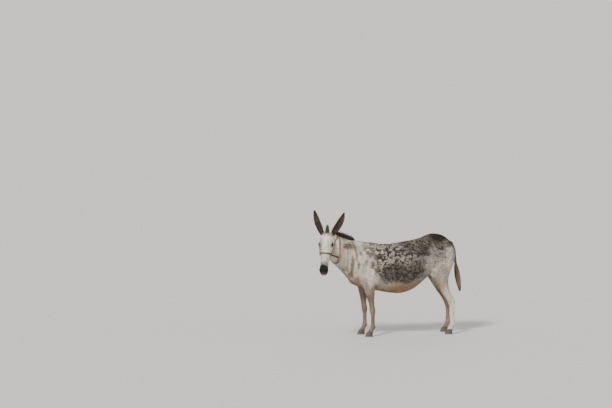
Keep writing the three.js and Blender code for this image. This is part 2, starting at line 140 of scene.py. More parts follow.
# A merged copy of some of the frame's nodes, as one new piece
def copyOfNodes(name, nodes):
    item = joinPieces([newObject(node + "_copy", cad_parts[node].data.copy()) for node in nodes])
    item.name = name
    item.data.name = name
    item.data.materials.clear()
    editAll(bpy.ops.mesh.remove_doubles, threshold=0.00002)
    return item


# The animal's own directions

halves = {"left": 1, "right": -1}   # the animal's own sides, as signs along leftWay

stance = {
    "headTurn": 64,          # degrees from straight ahead toward its left
    "headPitch": 65,         # degrees below the level
    "eyeDown": 0.151,        # from the poll down the face to the eyes
    "eyeOut": -0.041,        # from the face's front line in to the eyes
}

headTurn, headPitch = math.radians(stance["headTurn"]), math.radians(stance["headPitch"])
facing = np.array([-math.cos(headTurn), -math.sin(headTurn), 0.0])
up = np.array([0.0, 0.0, 1.0])
noseWay = facing * math.cos(headPitch) - up * math.sin(headPitch)
browWay = facing * math.sin(headPitch) + up * math.cos(headPitch)
leftWay = np.array([-facing[1], facing[0], 0.0])


def nodeMiddle(node):
    low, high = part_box(node)
    return np.array((low + high) / 2)


eyeMiddle = {side: nodeMiddle("eye_" + word) for word, side in halves.items()}
poll = (eyeMiddle[1] + eyeMiddle[-1]) / 2 - noseWay * stance["eyeDown"] - browWay * stance["eyeOut"]
middleY = float((nodeMiddle("hind_hoof_left")[1] + nodeMiddle("hind_hoof_right")[1]) / 2)


# Millimetres down the face, out of the forehead and toward its own left
def onHead(down, out, side):
    return poll + (noseWay * down + browWay * out + leftWay * side) / 1000


def headCoords(places):
    return (places - poll) @ np.stack([noseWay, browWay, leftWay], 1) * 1000


# Smoothing that keeps the volume


# Each point's neighbours in one long row, where each point's own begin, and how many it has
def edgeTable(item):
    edges = np.empty(len(item.data.edges) * 2, np.int64)
    item.data.edges.foreach_get("vertices", edges)
    edges = edges.reshape(-1, 2)
    both = np.concatenate([edges, edges[:, ::-1]])
    both = both[np.argsort(both[:, 0], kind="stable")]
    count = np.bincount(both[:, 0], minlength=len(item.data.vertices))
    first = np.concatenate([[0], np.cumsum(count)[:-1]])
    return both[:, 1], first, np.maximum(count, 1)[:, None]


# Values at the points, drawn toward the mean of their neighbours
def smoothed(values, table, rounds, amount):
    others, first, count = table
    for _ in range(rounds):
        mean = np.add.reduceat(values[others], first, axis=0) / count
        values = values + (mean - values) * amount
    return values


def smoothSkin(item, rounds, amount):
    table = edgeTable(item)
    start = placesOf(item)
    amount = np.asarray(amount, float).reshape(-1, 1) * 0.6
    soft = smoothed(start, table, rounds, amount)
    lost = smoothed(start - soft, table, rounds, amount)
    movePlaces(item, soft + lost)


# Skin: one surface over all the flesh, hollowed and raised where the body needs it

legNodes = [
    f"{part}_{word}"
    for part in ("forearm", "fore_cannon", "fore_pastern", "gaskin", "hind_cannon", "hind_pastern")
    for word in halves]
earNodes = ["ear_" + word for word in halves]
fleshNodes = ["trunk", "neck", "head", "tail_dock"] + legNodes
bodyNodes = fleshNodes + earNodes

skinPlan = {
    "voxel": 0.0095,
    "earVoxel": 0.0033,
    "bodyRounds": 34,        # rounds of smoothing; legs and head take a share of them
    "eyeFill": 0.0235,       # balls that fill the eyes' and nostrils' hollows in the solids
    "nostrilFill": 0.017,
    "nostrilFillPlace": (476, -34, 38),
    "earRoot": (6, -79, 66),  # where the ears stand on the skull, down, out and to the side
    "earRootSize": 0.025,
    # how deep the skin lies inside the solids, to leave room for the coat
    "coatDepth": {"body": 0.0036, "head": 0.0018, "ears": 0.0006, "legs": 0.0024},
    "sunkBody": 0.0025,      # how far smoothing may take the form in before it is brought back
    "sunkEar": 0.0006,
}

# Ridges and hollows as strokes: from, to, radius and height, in millimetres
headStrokes = {
    "browRidge": ((112, -12, 64), (146, -8, 84), 13, 4.0),
    "temple": ((84, -56, 74), (104, -44, 80), 15, -4.5),
    "facialCrest": ((198, -80, 84), (296, -84, 56), 9, 3.0),
    "underCrest": ((220, -106, 76), (300, -104, 52), 12, -2.0),
    "noseBoneSide": ((205, -28, 66), (405, -26, 40), 11, -3.0),
    "noseBone": ((205, 4, 20), (410, -2, 15), 13, 1.5),
    "cheek": ((120, -142, 84), (178, -150, 82), 40, 4.0),
    "jawEdge": ((150, -222, 42), (262, -192, 34), 13, 3.0),
    "jawHollow": ((282, -150, 44), (340, -128, 40), 14, -2.5),
    "nostrilWing": ((448, -16, 42), (492, -44, 54), 8, 3.0),
    "nostrilUnder": ((470, -62, 54), (500, -66, 46), 10, -2.0),
    "upperLip": ((512, -48, 0), (504, -58, 32), 11, 2.5),
    "chin": ((486, -114, 0), (502, -106, 12), 15, 3.5),
    "underLip": ((512, -88, 0), (500, -92, 30), 8, 1.5),
    "foreheadDip": ((60, 0, 0), (110, 8, 0), 16, -1.5),
}

# The same on the body: along it, out from its middle plane and up
bodyStrokes = {
    "shoulderBlade": ((-240, 130, 1070), (-372, 170, 800), 34, 6),
    "shoulderHollow": ((-180, 170, 980), (-250, 190, 760), 34, -5),
    "neckHollow": ((-330, 130, 1080), (-470, 110, 850), 34, -5),
    "shoulderPoint": ((-436, 112, 800), (-446, 112, 752), 36, 9),
    "breastHollow": ((-500, 0, 830), (-520, 0, 700), 22, -6),
    "upperArm": ((-330, 180, 730), (-240, 186, 660), 36, 5),
    "elbow": ((-172, 165, 648), (-166, 165, 618), 22, 7),
    "girthHollow": ((-118, 180, 640), (-112, 190, 770), 30, -5),
    "hipPoint": ((452, 160, 1128), (474, 172, 1100), 30, 8),
    "flankHollow": ((385, 170, 1080), (408, 200, 980), 40, -9),
    "flankFold": ((455, 196, 860), (515, 176, 720), 20, 5),
    "stifle": ((560, 172, 770), (572, 172, 720), 34, 6),
    "thighHollow": ((690, 170, 900), (700, 160, 760), 24, -4),
    "buttock": ((772, 84, 1010), (792, 82, 900), 36, 5),
    "tailHead": ((735, 60, 1160), (790, 40, 1100), 20, -5),
    "gaskinMuscle": ((640, 160, 640), (690, 152, 560), 24, 4),
    "hockHollow": ((765, 144, 440), (768, 92, 440), 10, -2.5),
    "hockPoint": ((816, 118, 468), (814, 118, 445), 12, 4),
    "backGroove": ((-120, 0, 1124), (420, 0, 1170), 14, -2.5),
}
ribPlan = {
    "count": 7,
    "first": -20,
    "step": 52,
    "lean": 70,               # how far back a rib runs from its top to its foot
    "top": (205, 980),        # out from the middle plane and up
    "foot": (225, 690),
    "radius": 13,
    "height": 1.8,
}
# Grooves on both sides of the tendons of a leg: along the body, out, from and to which height
tendonPlan = {
    "legs": ((-190, 122, 290, 140), (808, 118, 360, 145)),
    "aside": 24,
    "slope": 4,
    "radius": 6,
    "height": -2.4,
}


def ballAt(place, radius):
    item = addItem(bpy.ops.mesh.primitive_uv_sphere_add,
                   segments=24, ring_count=16, radius=radius, location=place)
    applyPlace()
    return item


# Splits the faces whose middles are chosen, for a finer surface there
def refine(item, chosen):
    middles = np.empty(len(item.data.polygons) * 3)
    item.data.polygons.foreach_get("center", middles)
    pick(item)
    bpy.ops.object.mode_set(mode="EDIT")
    bpy.ops.mesh.select_all(action="DESELECT")
    bpy.ops.object.mode_set(mode="OBJECT")
    item.data.polygons.foreach_set("select", chosen(middles.reshape(-1, 3)))
    bpy.ops.object.mode_set(mode="EDIT")
    bpy.ops.mesh.select_mode(type="FACE")
    bpy.ops.mesh.subdivide(number_cuts=1)
    bpy.ops.object.mode_set(mode="OBJECT")


# The head's own reach: down the face, the deepest below it and out to a side
headReach = {"from": -30, "to": 560, "deepest": -265, "side": 125}


def insideHead(middles):
    down, out, side = headCoords(middles).T
    return ((down > headReach["from"]) & (down < headReach["to"]) & (out > headReach["deepest"])
            & (np.abs(side) < headReach["side"]))


def treeOfNodes(nodes):
    points, faces, owner = [], [], []
    for index, node in enumerate(nodes):
        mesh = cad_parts[node].data
        start = len(points)
        points.extend(v.co for v in mesh.vertices)
        for face in mesh.polygons:
            faces.append([start + k for k in face.vertices])
            owner.append(index)
    return BVHTree.FromPolygons(points, faces), owner


# Brings places that smoothing took in back out toward the solids' own surface
def swellToSolids(item, nodes, margin, rounds):
    tree, _ = treeOfNodes(nodes)
    places, normals = placesOf(item), normalsOf(item)
    spots = np.array([tree.find_nearest(Vector(place))[0] for place in places])
    sunk = np.sum((spots - places) * normals, 1)
    lift = smoothed(np.clip(sunk - margin, 0, 0.03)[:, None], edgeTable(item), rounds, 0.6)
    movePlaces(item, places + normals * lift)


def makeBody():
    body = copyOfNodes("skin", fleshNodes)
    fillers = []
    down, out, across = skinPlan["nostrilFillPlace"]
    for side in halves.values():
        fillers.append(ballAt(eyeMiddle[side], skinPlan["eyeFill"]))
        fillers.append(ballAt(onHead(down, out, side * across), skinPlan["nostrilFill"]))
    body = joinPieces([body] + fillers)
    applyModifier(body, "REMESH", mode="VOXEL", voxel_size=skinPlan["voxel"])
    places = placesOf(body)
    inHead = headCoords(places)
    # the share of the smoothing that each place takes: less down the legs, on the head and at the tail
    calm = 0.12 + 0.88 * ramp(places[:, 2], 0.48, 0.66)
    headShare = ramp(inHead[:, 0], -120, 20) * ramp(inHead[:, 1], -330, -230)
    calm = np.minimum(calm, 1 - 0.8 * ramp(places[:, 0], 0.785, 0.812))
    smoothSkin(body, skinPlan["bodyRounds"], np.minimum(calm, 1 - 0.8 * headShare))
    swellToSolids(body, fleshNodes, skinPlan["sunkBody"], 10)
    refine(body, insideHead)
    finer = insideHead(placesOf(body)).astype(float)
    smoothSkin(body, 6, finer)
    return body


# An ear with its foot sunk in the skull, joined to the body as one closed surface
def joinEar(body, side, node):
    down, out, across = skinPlan["earRoot"]
    ear = joinPieces([copyOfNodes(node + "_skin", [node]),
                      ballAt(onHead(down, out, side * across), skinPlan["earRootSize"])])
    applyModifier(ear, "REMESH", mode="VOXEL", voxel_size=skinPlan["earVoxel"])
    smoothSkin(ear, 8, np.ones(len(ear.data.vertices)))
    swellToSolids(ear, [node], skinPlan["sunkEar"], 4)
    applyModifier(body, "BOOLEAN", operation="UNION", object=ear, solver="MANIFOLD")
    bpy.data.objects.remove(ear)
    # then the skin softened round the ear's foot
    gap = np.linalg.norm(placesOf(body) - onHead(down - 22, out, side * (across + 8)), axis=1)
    smoothSkin(body, 14, 1 - ramp(gap, 0.030, 0.052))


# How much a stroke raises each place: most on its line, and less with the distance from it
def strokeLift(coords, start, end, radius, height):
    start, end = np.array(start, float), np.array(end, float)
    run = end - start
    share = np.clip((coords - start) @ run / max(run @ run, 1e-9), 0, 1)
    gap = np.linalg.norm(coords - start - share[:, None] * run, axis=1)
    return height * hump(gap, radius)


def bodyCoords(places):
    return np.stack([places[:, 0], np.abs(places[:, 1] - middleY), places[:, 2]], 1) * 1000


def sculpt(body):
    places, normals = placesOf(body), normalsOf(body)
    inHead = headCoords(places)
    inHead[:, 2] = np.abs(inHead[:, 2])
    lift = np.zeros(len(places))
    for stroke in headStrokes.values():
        lift += strokeLift(inHead, *stroke)
    inBody = bodyCoords(places)
    for stroke in bodyStrokes.values():
        lift += strokeLift(inBody, *stroke)
    plan = ribPlan
    for k in range(plan["count"]):
        x = plan["first"] + k * plan["step"]
        lift += strokeLift(inBody, (x, *plan["top"]), (x + plan["lean"], *plan["foot"]),
                           plan["radius"], plan["height"])
    plan = tendonPlan
    for x, out, high, low in plan["legs"]:
        for across in (out - plan["aside"], out + plan["aside"]):
            lift += strokeLift(inBody, (x, across, high), (x + plan["slope"], across, low),
                               plan["radius"], plan["height"])
    movePlaces(body, places + normals * lift[:, None] / 1000)


# Eyes, nostrils and lips in the skin

eyePlan = {
    "radius": 0.020,
    "slant": 0.42,            # how far the eyes look forward and the lids slope
    "halfLength": 58,         # degrees round the eyeball from its middle to the lids' corners
    "upperLid": 36,
    "lowerLid": 27,
    "lidThickness": 0.0017,
    "fold": 0.0020,
}


def eyeAxes(side):
    outward = unit(leftWay * side + browWay * eyePlan["slant"])
    along = noseWay + browWay * eyePlan["slant"]
    along = unit(along - outward * (along @ outward))
    lift = browWay - outward * (browWay @ outward) - along * (browWay @ along)
    return outward, along, unit(lift)


# How far from the eye's middle, how far before it, degrees up, and the share of the way to the
# lids' edge
def lidCoords(places, side):
    outward, along, lift = eyeAxes(side)
    spoke = places - eyeMiddle[side]
    far = np.linalg.norm(spoke, axis=1)
    front = spoke @ outward
    lon = np.degrees(np.arctan2(spoke @ along, front))
    lat = np.degrees(np.arcsin(np.clip(spoke @ lift / far, -1, 1)))
    edge = np.where(lat > 0, eyePlan["upperLid"], eyePlan["lowerLid"])
    share = np.hypot(lon / eyePlan["halfLength"], lat / edge)
    return far, front, lat, share


def shapeEye(body, side):
    places = placesOf(body)
    far, front, lat, share = lidCoords(places, side)
    near = np.where((front > -0.004) & (far < 0.05))[0]
    far, lat, share = far[near], lat[near], share[near]
    # inside the lids' edge the skin sinks behind the eyeball, and past it lies over the eyeball
    hidden = eyePlan["radius"] - 0.0025
    lid = eyePlan["radius"] + eyePlan["lidThickness"]
    target = hidden + (lid - hidden) * ramp(share, 0.90, 1.03)
    # the folds above and below
    target += eyePlan["fold"] * hump(share - 1.34, 0.18) * ramp(lat, -8, 8)
    target -= eyePlan["fold"] * 0.8 * hump(share - 1.66, 0.12) * ramp(lat, 0, 14)
    target += eyePlan["fold"] * 0.4 * hump(share - 1.4, 0.2) * ramp(-lat, -4, 8)
    hold = 1 - ramp(share, 1.25, 2.5)
    reach = blend(far, target, hold)
    spoke = places[near] - eyeMiddle[side]
    places[near] = eyeMiddle[side] + spoke * (reach / far)[:, None]
    movePlaces(body, places)


nostrilPlan = {
    "place": (474, -27, 49),
    "slant": (1.0, -0.50, -0.30),   # the way the opening runs, down, out and to the side
    "halfLength": 19,
    "halfWidth": 10,
    "depth": 17,
    "wing": 3.0,
}


# The share of the way to a nostril's rim, the place above its line, the depth, and the way it faces
def nostrilCoords(places, side):
    down, out, across = nostrilPlan["place"]
    centre = onHead(down, out, side * across)
    slant = np.array(nostrilPlan["slant"])
    along = unit(noseWay * slant[0] + browWay * slant[1] + leftWay * side * slant[2])
    outward = leftWay * side + browWay * 0.55
    outward = unit(outward - along * (outward @ along))
    across = np.cross(along, outward)
    across = across * np.sign(across @ browWay)
    spoke = (places - centre) * 1000
    u, v, w = spoke @ along, spoke @ across, spoke @ outward
    bend = 0.012 * u * u                       # a comma: both ends curl toward the brow
    share = np.hypot(u / nostrilPlan["halfLength"], (v - bend + 2) / nostrilPlan["halfWidth"])
    return share, v - bend, w, outward


def shapeNostril(body, side):
    places, normals = placesOf(body), normalsOf(body)
    share, v, w, outward = nostrilCoords(places, side)
    near = (np.abs(w) < 22) & (share < 3)
    inward = unit(-outward - noseWay * 0.7)
    depth = nostrilPlan["depth"] * (1 - ramp(share, 0.35, 1.12)) * near
    wing = nostrilPlan["wing"] * hump(share - 1.35, 0.28) * ramp(v, -4, 6) * near
    places += inward * depth[:, None] / 1000 + normals * wing[:, None] / 1000
    movePlaces(body, places)


lipPlan = {"front": 506, "out": -84, "slope": 0.2, "corner": 452, "depth": 7, "swell": 2.4}


# How far down the face a place lies, and how far above the line between the lips
def lipCoords(places):
    down, out, _ = headCoords(places).T
    return down, out - lipPlan["out"] + lipPlan["slope"] * (down - lipPlan["front"])


def shapeLips(body):
    places, normals = placesOf(body), normalsOf(body)
    down, gap = lipCoords(places)
    along = ramp(down, lipPlan["corner"] - 6, lipPlan["corner"] + 14) * (down < headReach["to"])
    lift = -lipPlan["depth"] * hump(gap, 2.8) + lipPlan["swell"] * hump(np.abs(gap) - 8, 5)
    movePlaces(body, places + normals * (lift * along)[:, None] / 1000)


# Two rounds of finer faces round the eyes and nostrils, and one along the lips
def refineFace(body):
    down, out, across = nostrilPlan["place"]
    holes = [onHead(down, out, side * across) for side in halves.values()]

    def closeTo(points, radius):
        return lambda middles: np.min(
            [np.linalg.norm(middles - point, axis=1) for point in points], axis=0) < radius

    def alongLips(middles):
        down, gap = lipCoords(middles)
        return (np.abs(gap) < 9) & (down > lipPlan["corner"] - 10) & (down < headReach["to"])

    refine(body, closeTo(eyeMiddle.values(), 0.042))
    refine(body, closeTo(holes, 0.032))
    refine(body, alongLips)
    refine(body, closeTo(eyeMiddle.values(), 0.029))
    refine(body, closeTo(holes, 0.024))


def makeSkin():
    body = makeBody()
    for word, side in halves.items():
        joinEar(body, side, "ear_" + word)
    print("flesh joined:", len(body.data.vertices), "points")
    sculpt(body)
    refineFace(body)
    return body


# Which part of the body each place of the skin lies on

# For each part: the rounds of smoothing that soften its edge, and the nodes that it lies on
partPlan = {
    "head": (12, ["head"]),
    "neck": (16, ["neck"]),
    "ears": (5, earNodes),
    "tail": (3, ["tail_dock"]),
    "legs": (12, legNodes),
    "sunlitLowerHindLeft": (10, ["hind_cannon_left", "hind_pastern_left"]),
    "gaskinLeft": (10, ["gaskin_left"]),
    "hindRight": (10, ["gaskin_right", "hind_cannon_right", "hind_pastern_right"]),
}


def nearestNodes(places, nodes):
    tree, owner = treeOfNodes(nodes)
    return np.array([owner[tree.find_nearest(Vector(place))[2]] for place in places])


def partShares(labels, table):
    shares = {}
    for part, (rounds, nodes) in partPlan.items():
        mask = np.isin(labels, [bodyNodes.index(node) for node in nodes]).astype(float)
        shares[part] = smoothed(mask[:, None], table, rounds, 0.6)[:, 0]
    shares["body"] = np.clip(1 - shares["head"] - shares["ears"] - shares["legs"], 0, 1)
    return shares


skin = makeSkin()
skinTable = edgeTable(skin)
skinLabels = nearestNodes(placesOf(skin), bodyNodes)
shares = partShares(skinLabels, skinTable)
coatDepth = sum(skinPlan["coatDepth"][part] * shares[part] for part in skinPlan["coatDepth"])
movePlaces(skin, placesOf(skin) - normalsOf(skin) * coatDepth[:, None])
for side in halves.values():
    shapeEye(skin, side)
    shapeNostril(skin, side)
shapeLips(skin)
pick(skin)
bpy.ops.object.shade_smooth()
skinPlaces, skinNormals = placesOf(skin), normalsOf(skin)
skin.data.calc_loop_triangles()
print("skin shaped:", len(skinPlaces), "points,", len(skin.data.loop_triangles), "triangles")

# The lie of the coat

lieOfCoat = {
    "back": (1.0, 0.0, -0.12),
    "flank": (0.9, 0.0, -0.45),
    "breast": (0.25, 0.0, -1.0),
    "rump": (0.55, 0.0, -0.85),
    "neck": (0.75, 0.25, -0.6),
    "legs": (0.06, 0.0, -1.0),
    "tail": (0.12, 0.0, -1.0),
    "whorl": 108,             # down the face, where the hair parts
    "sway": 0.22,             # how far the lie wanders
}


# A smooth chance pattern over the body, mostly between -1 and 1
def wander(places, scale, seed):
    rng = np.random.default_rng(seed)
    total = np.zeros(len(places))
    for _ in range(6):
        way = rng.normal(size=3)
        total += np.sin(places @ way * scale + rng.uniform(0, 6.3))
    return total / 3


def coatFlow(places, normals):
    plan = lieOfCoat
    x, z = places[:, 0], places[:, 2]
    inHead = headCoords(places)
    way = blend(plan["back"], plan["flank"], ramp(-z, -1.05, -0.75)[:, None])
    way = blend(way, plan["breast"], ramp(-x, 0.34, 0.46)[:, None])
    way = blend(way, plan["rump"], ramp(x, 0.48, 0.66)[:, None])
    way = blend(way, plan["neck"], shares["neck"][:, None])
    fromWhorl = np.stack([inHead[:, 0] - plan["whorl"], inHead[:, 2] * 0.8], 1)
    fromWhorl = unit(fromWhorl) * ramp(np.linalg.norm(fromWhorl, axis=1), 0, 14)[:, None]
    face = np.outer(fromWhorl[:, 0], noseWay) + np.outer(fromWhorl[:, 1], leftWay)
    face = blend(face, noseWay * 0.7 - browWay * 0.7, ramp(-inHead[:, 1], 60, 130)[:, None])
    for part, direction in (("head", face), ("legs", plan["legs"]), ("tail", plan["tail"]),
                            ("ears", -noseWay)):
        way = blend(way, direction, shares[part][:, None])
    way = smoothed(way, skinTable, 8, 0.6)
    sideways = np.cross(normals, way) * (plan["sway"] * wander(places, 22, 3))[:, None]
    way = way + sideways
    return unit(way - normals * np.sum(way * normals, 1)[:, None])


skinFlow = coatFlow(skinPlaces, skinNormals)

# Markings: one set of colours for the skin and every coat piece

colours = {
    "white": (0.90, 0.84, 0.73),
    "cream": (0.73, 0.64, 0.51),
    "paleGrey": (0.50, 0.465, 0.41),
    "grey": (0.25, 0.225, 0.195),
    "taupe": (0.30, 0.225, 0.160),
    "streak": (0.17, 0.142, 0.120),
    "brownGrey": (0.125, 0.094, 0.075),
    "tan": (0.46, 0.27, 0.135),
    "brown": (0.20, 0.115, 0.062),
    "darkBrown": (0.020, 0.012, 0.008),
    "croupBrown": (0.030, 0.016, 0.010),
    "black": (0.008, 0.007, 0.0065),
    "earBrown": (0.034, 0.018, 0.011),
    "earPale": (0.15, 0.095, 0.060),
}

# Patches of the body seen from its side: middle along and up, reach along and up, strength, flecks
bodyPatches = [
    ("paleGrey", -60, 1010, 300, 190, 0.55, 0.62),
    ("cream", -330, 930, 190, 260, 0.75, 0.08),
    ("cream", -150, 960, 110, 190, 0.70, 0.66),
    ("paleGrey", -355, 985, 120, 150, 0.55, 0.10),
    ("white", -262, 742, 66, 94, 0.95, 0.0),
    ("paleGrey", 90, 1010, 230, 120, 0.70, 0.85),
    ("brownGrey", 108, 776, 285, 112, 0.90, 0.75),
    ("brownGrey", 320, 860, 110, 100, 0.60, 0.80),
    # painted shade: the underside of the belly painted tan, as the shade under the body
    ("tan", 110, 560, 420, 96, 0.92, 0.05),
    ("cream", -90, 625, 130, 52, 0.40, 0.02),
    # painted shade: the lower front of the chest painted tan, as shade
    ("tan", -478, 660, 125, 96, 0.70, 0.05),
    # painted shade: a small dark spot in the hollow in front of the elbow
    ("darkBrown", -200, 621, 17, 17, 1.0, 0.0),
    ("brownGrey", 290, 1090, 190, 110, 0.62, 1.00),
    ("croupBrown", 405, 1042, 64, 98, 0.98, 0.60),
    ("paleGrey", 650, 1010, 190, 150, 0.80, 0.44),
    ("grey", 600, 1040, 120, 110, 0.48, 0.50),
    ("cream", 640, 800, 150, 130, 0.60, 0.42),
    # painted highlight: white on the point of the buttock, where the light falls
    ("white", 760, 930, 60, 150, 0.50, 0.12),
    ("paleGrey", 500, 760, 60, 110, 0.60, 0.20),
    # painted shade: the lower front of the thigh painted tan, as shade
    ("tan", 548, 605, 66, 90, 0.72, 0.05),
    ("brownGrey", 470, 1165, 120, 66, 0.70, 0.90),
    ("brownGrey", 690, 1115, 130, 64, 0.60, 0.70),
    ("croupBrown", 625, 1222, 205, 84, 1.0, 0.0),
    ("croupBrown", 752, 1150, 62, 62, 0.85, 0.30),
    ("brownGrey", -230, 1135, 110, 34, 0.60, 0.85),
]
neckPatches = [
    ("cream", -470, 950, 110, 190, 0.55, 0.05),
    ("brown", -506, 1106, 100, 36, 0.95, 0.12),
    ("grey", -430, 1090, 46, 40, 0.55, 0.35),
    # painted shade: the lower front of the neck and chest painted tan, as shade
    ("tan", -520, 720, 100, 110, 0.60, 0.05),
    ("cream", -640, 960, 70, 90, 0.60, 0.05),
]
# Patches of the head: middle down, out and to its own side, their reach, strength.
# Those with a side below nought lie on its right alone.
headPatches = [
    ("grey", (6, -40, 56), (52, 50, 40), 0.88),
    ("paleGrey", (34, -10, 0), (30, 60, 90), 0.45),
    ("brownGrey", (20, -24, 0), (24, 34, 36), 0.85),
    ("grey", (112, -40, 92), (30, 30, 26), 0.55),
    ("brownGrey", (151, -42, 90), (36, 30, 27), 0.92),
    # painted shade: grey down the right side of the face, which turns away from the light
    ("grey", (200, -26, -62), (95, 50, 26), 0.72),
    ("tan", (215, -150, 84), (90, 60, 60), 0.30),
    ("tan", (150, -235, 0), (120, 60, 60), 0.45),
    ("paleGrey", (350, -10, 0), (70, 60, 60), 0.35),
    ("grey", (402, -50, 0), (26, 120, 90), 0.80),
]


def paint(colour, fleck, name, weight, flecks):
    colour[:] = blend(colour, colours[name], weight[:, None])
    if flecks is not None:
        fleck[:] = blend(fleck, flecks, weight)


# Patches with edges that wander, a little apart on the two sides so that they don't mirror
def sidePatches(colour, fleck, places, patches, within):
    along = places[:, 0] * 1000
    high = places[:, 2] * 1000
    farSide = places[:, 1] > middleY
    along = along + np.where(farSide, 30, 0) + 26 * wander(places, 16, 11) + 15 * wander(places, 66, 13)
    along = along + 60 * wander(places * np.array((0.3, 1, 0.3)), 9, 17) * ramp(high, 1080, 1180)
    high = high + np.where(farSide, -16, 0) + 18 * wander(places, 18, 12) + 13 * wander(places, 70, 14)
    for name, x, z, reachX, reachZ, strength, flecks in patches:
        gap = np.hypot((along - x) / reachX, (high - z) / reachZ)
        paint(colour, fleck, name, strength * (1 - ramp(gap, 0.62, 1.38)) * within, flecks)


def markings(places, normals):
    colour = np.tile(np.array(colours["paleGrey"]) * 0.9, (len(places), 1))
    fleck = np.full(len(places), 0.12)
    sidePatches(colour, fleck, places, bodyPatches, np.ones(len(places)))
    paint(colour, fleck, "paleGrey", shares["neck"] * 0.9, 0.10)
    paint(colour, fleck, "white", shares["neck"] * ramp(wander(places, 14, 21), -0.6, 0.8) * 0.8, 0.03)
    sidePatches(colour, fleck, places, neckPatches, shares["neck"])
    high = places[:, 2] * 1000
    # upright streaks down the shoulder
    onShoulder = ramp(places[:, 0], -0.62, -0.46) * ramp(-places[:, 0], 0.02, 0.18)
    onShoulder = onShoulder * ramp(high, 640, 780) * ramp(-high, -1130, -1040)
    streak = wander(places * np.array((1, 1, 0.16)), 74, 15)
    paint(colour, fleck, "streak", onShoulder * ramp(streak, -0.02, 0.40) * 0.80, None)
    paint(colour, fleck, "white", onShoulder * ramp(-streak, 0.12, 0.6) * 0.60, None)
    # legs, whose colour begins softly below the elbow and the stifle
    below = 1 - ramp(high + 45 * wander(places, 12, 41) + 22 * wander(places, 45, 42), 500, 650)
    paint(colour, fleck, "taupe", shares["legs"] * below, 0.10)
    paint(colour, fleck, "grey", shares["legs"] * ramp(-high, -330, -170) * 0.45, 0.05)
    # painted shade: the right hind leg painted tan, and brown above the cannon, as in the shadow of the
    # body and the near hind leg
    paint(colour, fleck, "tan", shares["hindRight"] * below * 0.30, 0.05)
    paint(colour, fleck, "brown", shares["hindRight"] * below * ramp(high, 330, 560) * 0.60, 0.05)
    # painted shade and light on the left gaskin: tan over it as shade on its front, and white down its
    # rear edge as sunlight
    paint(colour, fleck, "tan", shares["gaskinLeft"] * below * 0.66, 0.05)
    rear = ramp(places[:, 0] * 1000 - 630 - (629 - high) * 0.31, -45, 45)
    paint(colour, fleck, "white", shares["gaskinLeft"] * below * rear * 0.85, 0.05)
    # painted sunlight: the left hind cannon and pastern painted white, as lit by the sun
    paint(colour, fleck, "white", shares["sunlitLowerHindLeft"], 0.0)
    # head
    inHead = headCoords(places)
    down, out, across = inHead.T
    paint(colour, fleck, "white", shares["head"], 0.05)
    mirrored = np.stack([down, out, np.abs(across)], 1) + 5 * wander(places, 40, 31)[:, None]
    for name, middle, reach, strength in headPatches:
        seen = inHead if middle[2] < 0 else mirrored
        gap = np.linalg.norm((seen - np.array(middle)) / np.array(reach), axis=1)
        paint(colour, fleck, name, strength * (1 - ramp(gap, 0.6, 1.4)) * shares["head"], None)
    muzzle = ramp(down + 6 * wander(places, 60, 33) + 0.10 * out, 402, 428)
    paint(colour, fleck, "black", muzzle * shares["head"], 0)
    lip = hump(down - 522, 15) * hump(out + 72, 40)
    paint(colour, fleck, "tan", lip * 0.5 * shares["head"], 0)
    gap = lipCoords(places)[1]
    alongLips = shares["head"] * ramp(down, lipPlan["corner"] - 6, lipPlan["corner"] + 10)
    paint(colour, fleck, "grey", alongLips * hump(np.abs(gap) - 7, 5) * 0.30, 0)
    paint(colour, fleck, "black", alongLips * hump(gap, 2.4), 0)
    for side in halves.values():
        far, front, _, share = lidCoords(places, side)
        near = ramp(-far, -0.058, -0.040) * ramp(front, -0.016, 0.006)
        paint(colour, fleck, "brownGrey", (1 - ramp(share, 1.4, 2.5)) * 0.60 * near, 0)
        paint(colour, fleck, "black", (1 - ramp(share, 1.22, 1.62)) * 0.94 * near, 0)
        share, _, depth, _ = nostrilCoords(places, side)
        paint(colour, fleck, "black", (1 - ramp(share, 0.9, 1.2)) * (np.abs(depth) < 25), 0)
    # ears
    ears = shares["ears"]
    paint(colour, fleck, "earBrown", ears, 0.15)
    tip = ramp(-down, 170, 250)
    paint(colour, fleck, "black", ears * tip * 0.8, 0)
    ahead = normals @ facing
    inside = ramp(ahead, 0.25, 0.7) * ramp(-down, 10, 50) * (1 - tip)
    paint(colour, fleck, "earPale", ears * inside * 0.45, 0)
    rim = ramp(-np.abs(ahead - 0.1), -0.42, -0.2)
    paint(colour, fleck, "black", ears * rim * 0.6, 0)
    core = hump(down + 88 + 10 * wander(places, 50, 35), 76) * ramp(ahead, 0.45, 0.85)
    paint(colour, fleck, "black", ears * core * 0.88, 0)
    # tail dock
    paint(colour, fleck, "taupe", shares["tail"] * 0.8, 0.2)
    return colour, fleck


def addLayer(mesh, name, kind, key, values):
    layer = mesh.attributes.new(name, kind, "POINT")
    layer.data.foreach_set(key, np.asarray(values, np.float32).ravel())


def addFloats(mesh, name, values):
    addLayer(mesh, name, "FLOAT", "value", values)


def addVectors(mesh, name, values):
    addLayer(mesh, name, "FLOAT_VECTOR", "vector", values)


def addColours(mesh, name, values):
    addLayer(mesh, name, "FLOAT_COLOR", "color", np.concatenate([values, np.ones((len(values), 1))], 1))


skinColour, skinFleck = markings(skinPlaces, skinNormals)
addColours(skin.data, "coatColour", skinColour)
addFloats(skin.data, "fleck", skinFleck)
addVectors(skin.data, "root", skinPlaces)
skinUpright = np.clip(shares["head"] + shares["ears"] + shares["legs"] + shares["tail"], 0, 1)
addFloats(skin.data, "upright", skinUpright)
addFloats(skin.data, "strand", np.full(len(skinPlaces), 0.4))
addFloats(skin.data, "reach", np.full(len(skinPlaces), 0.3))
print("markings laid on the skin")

# Materials


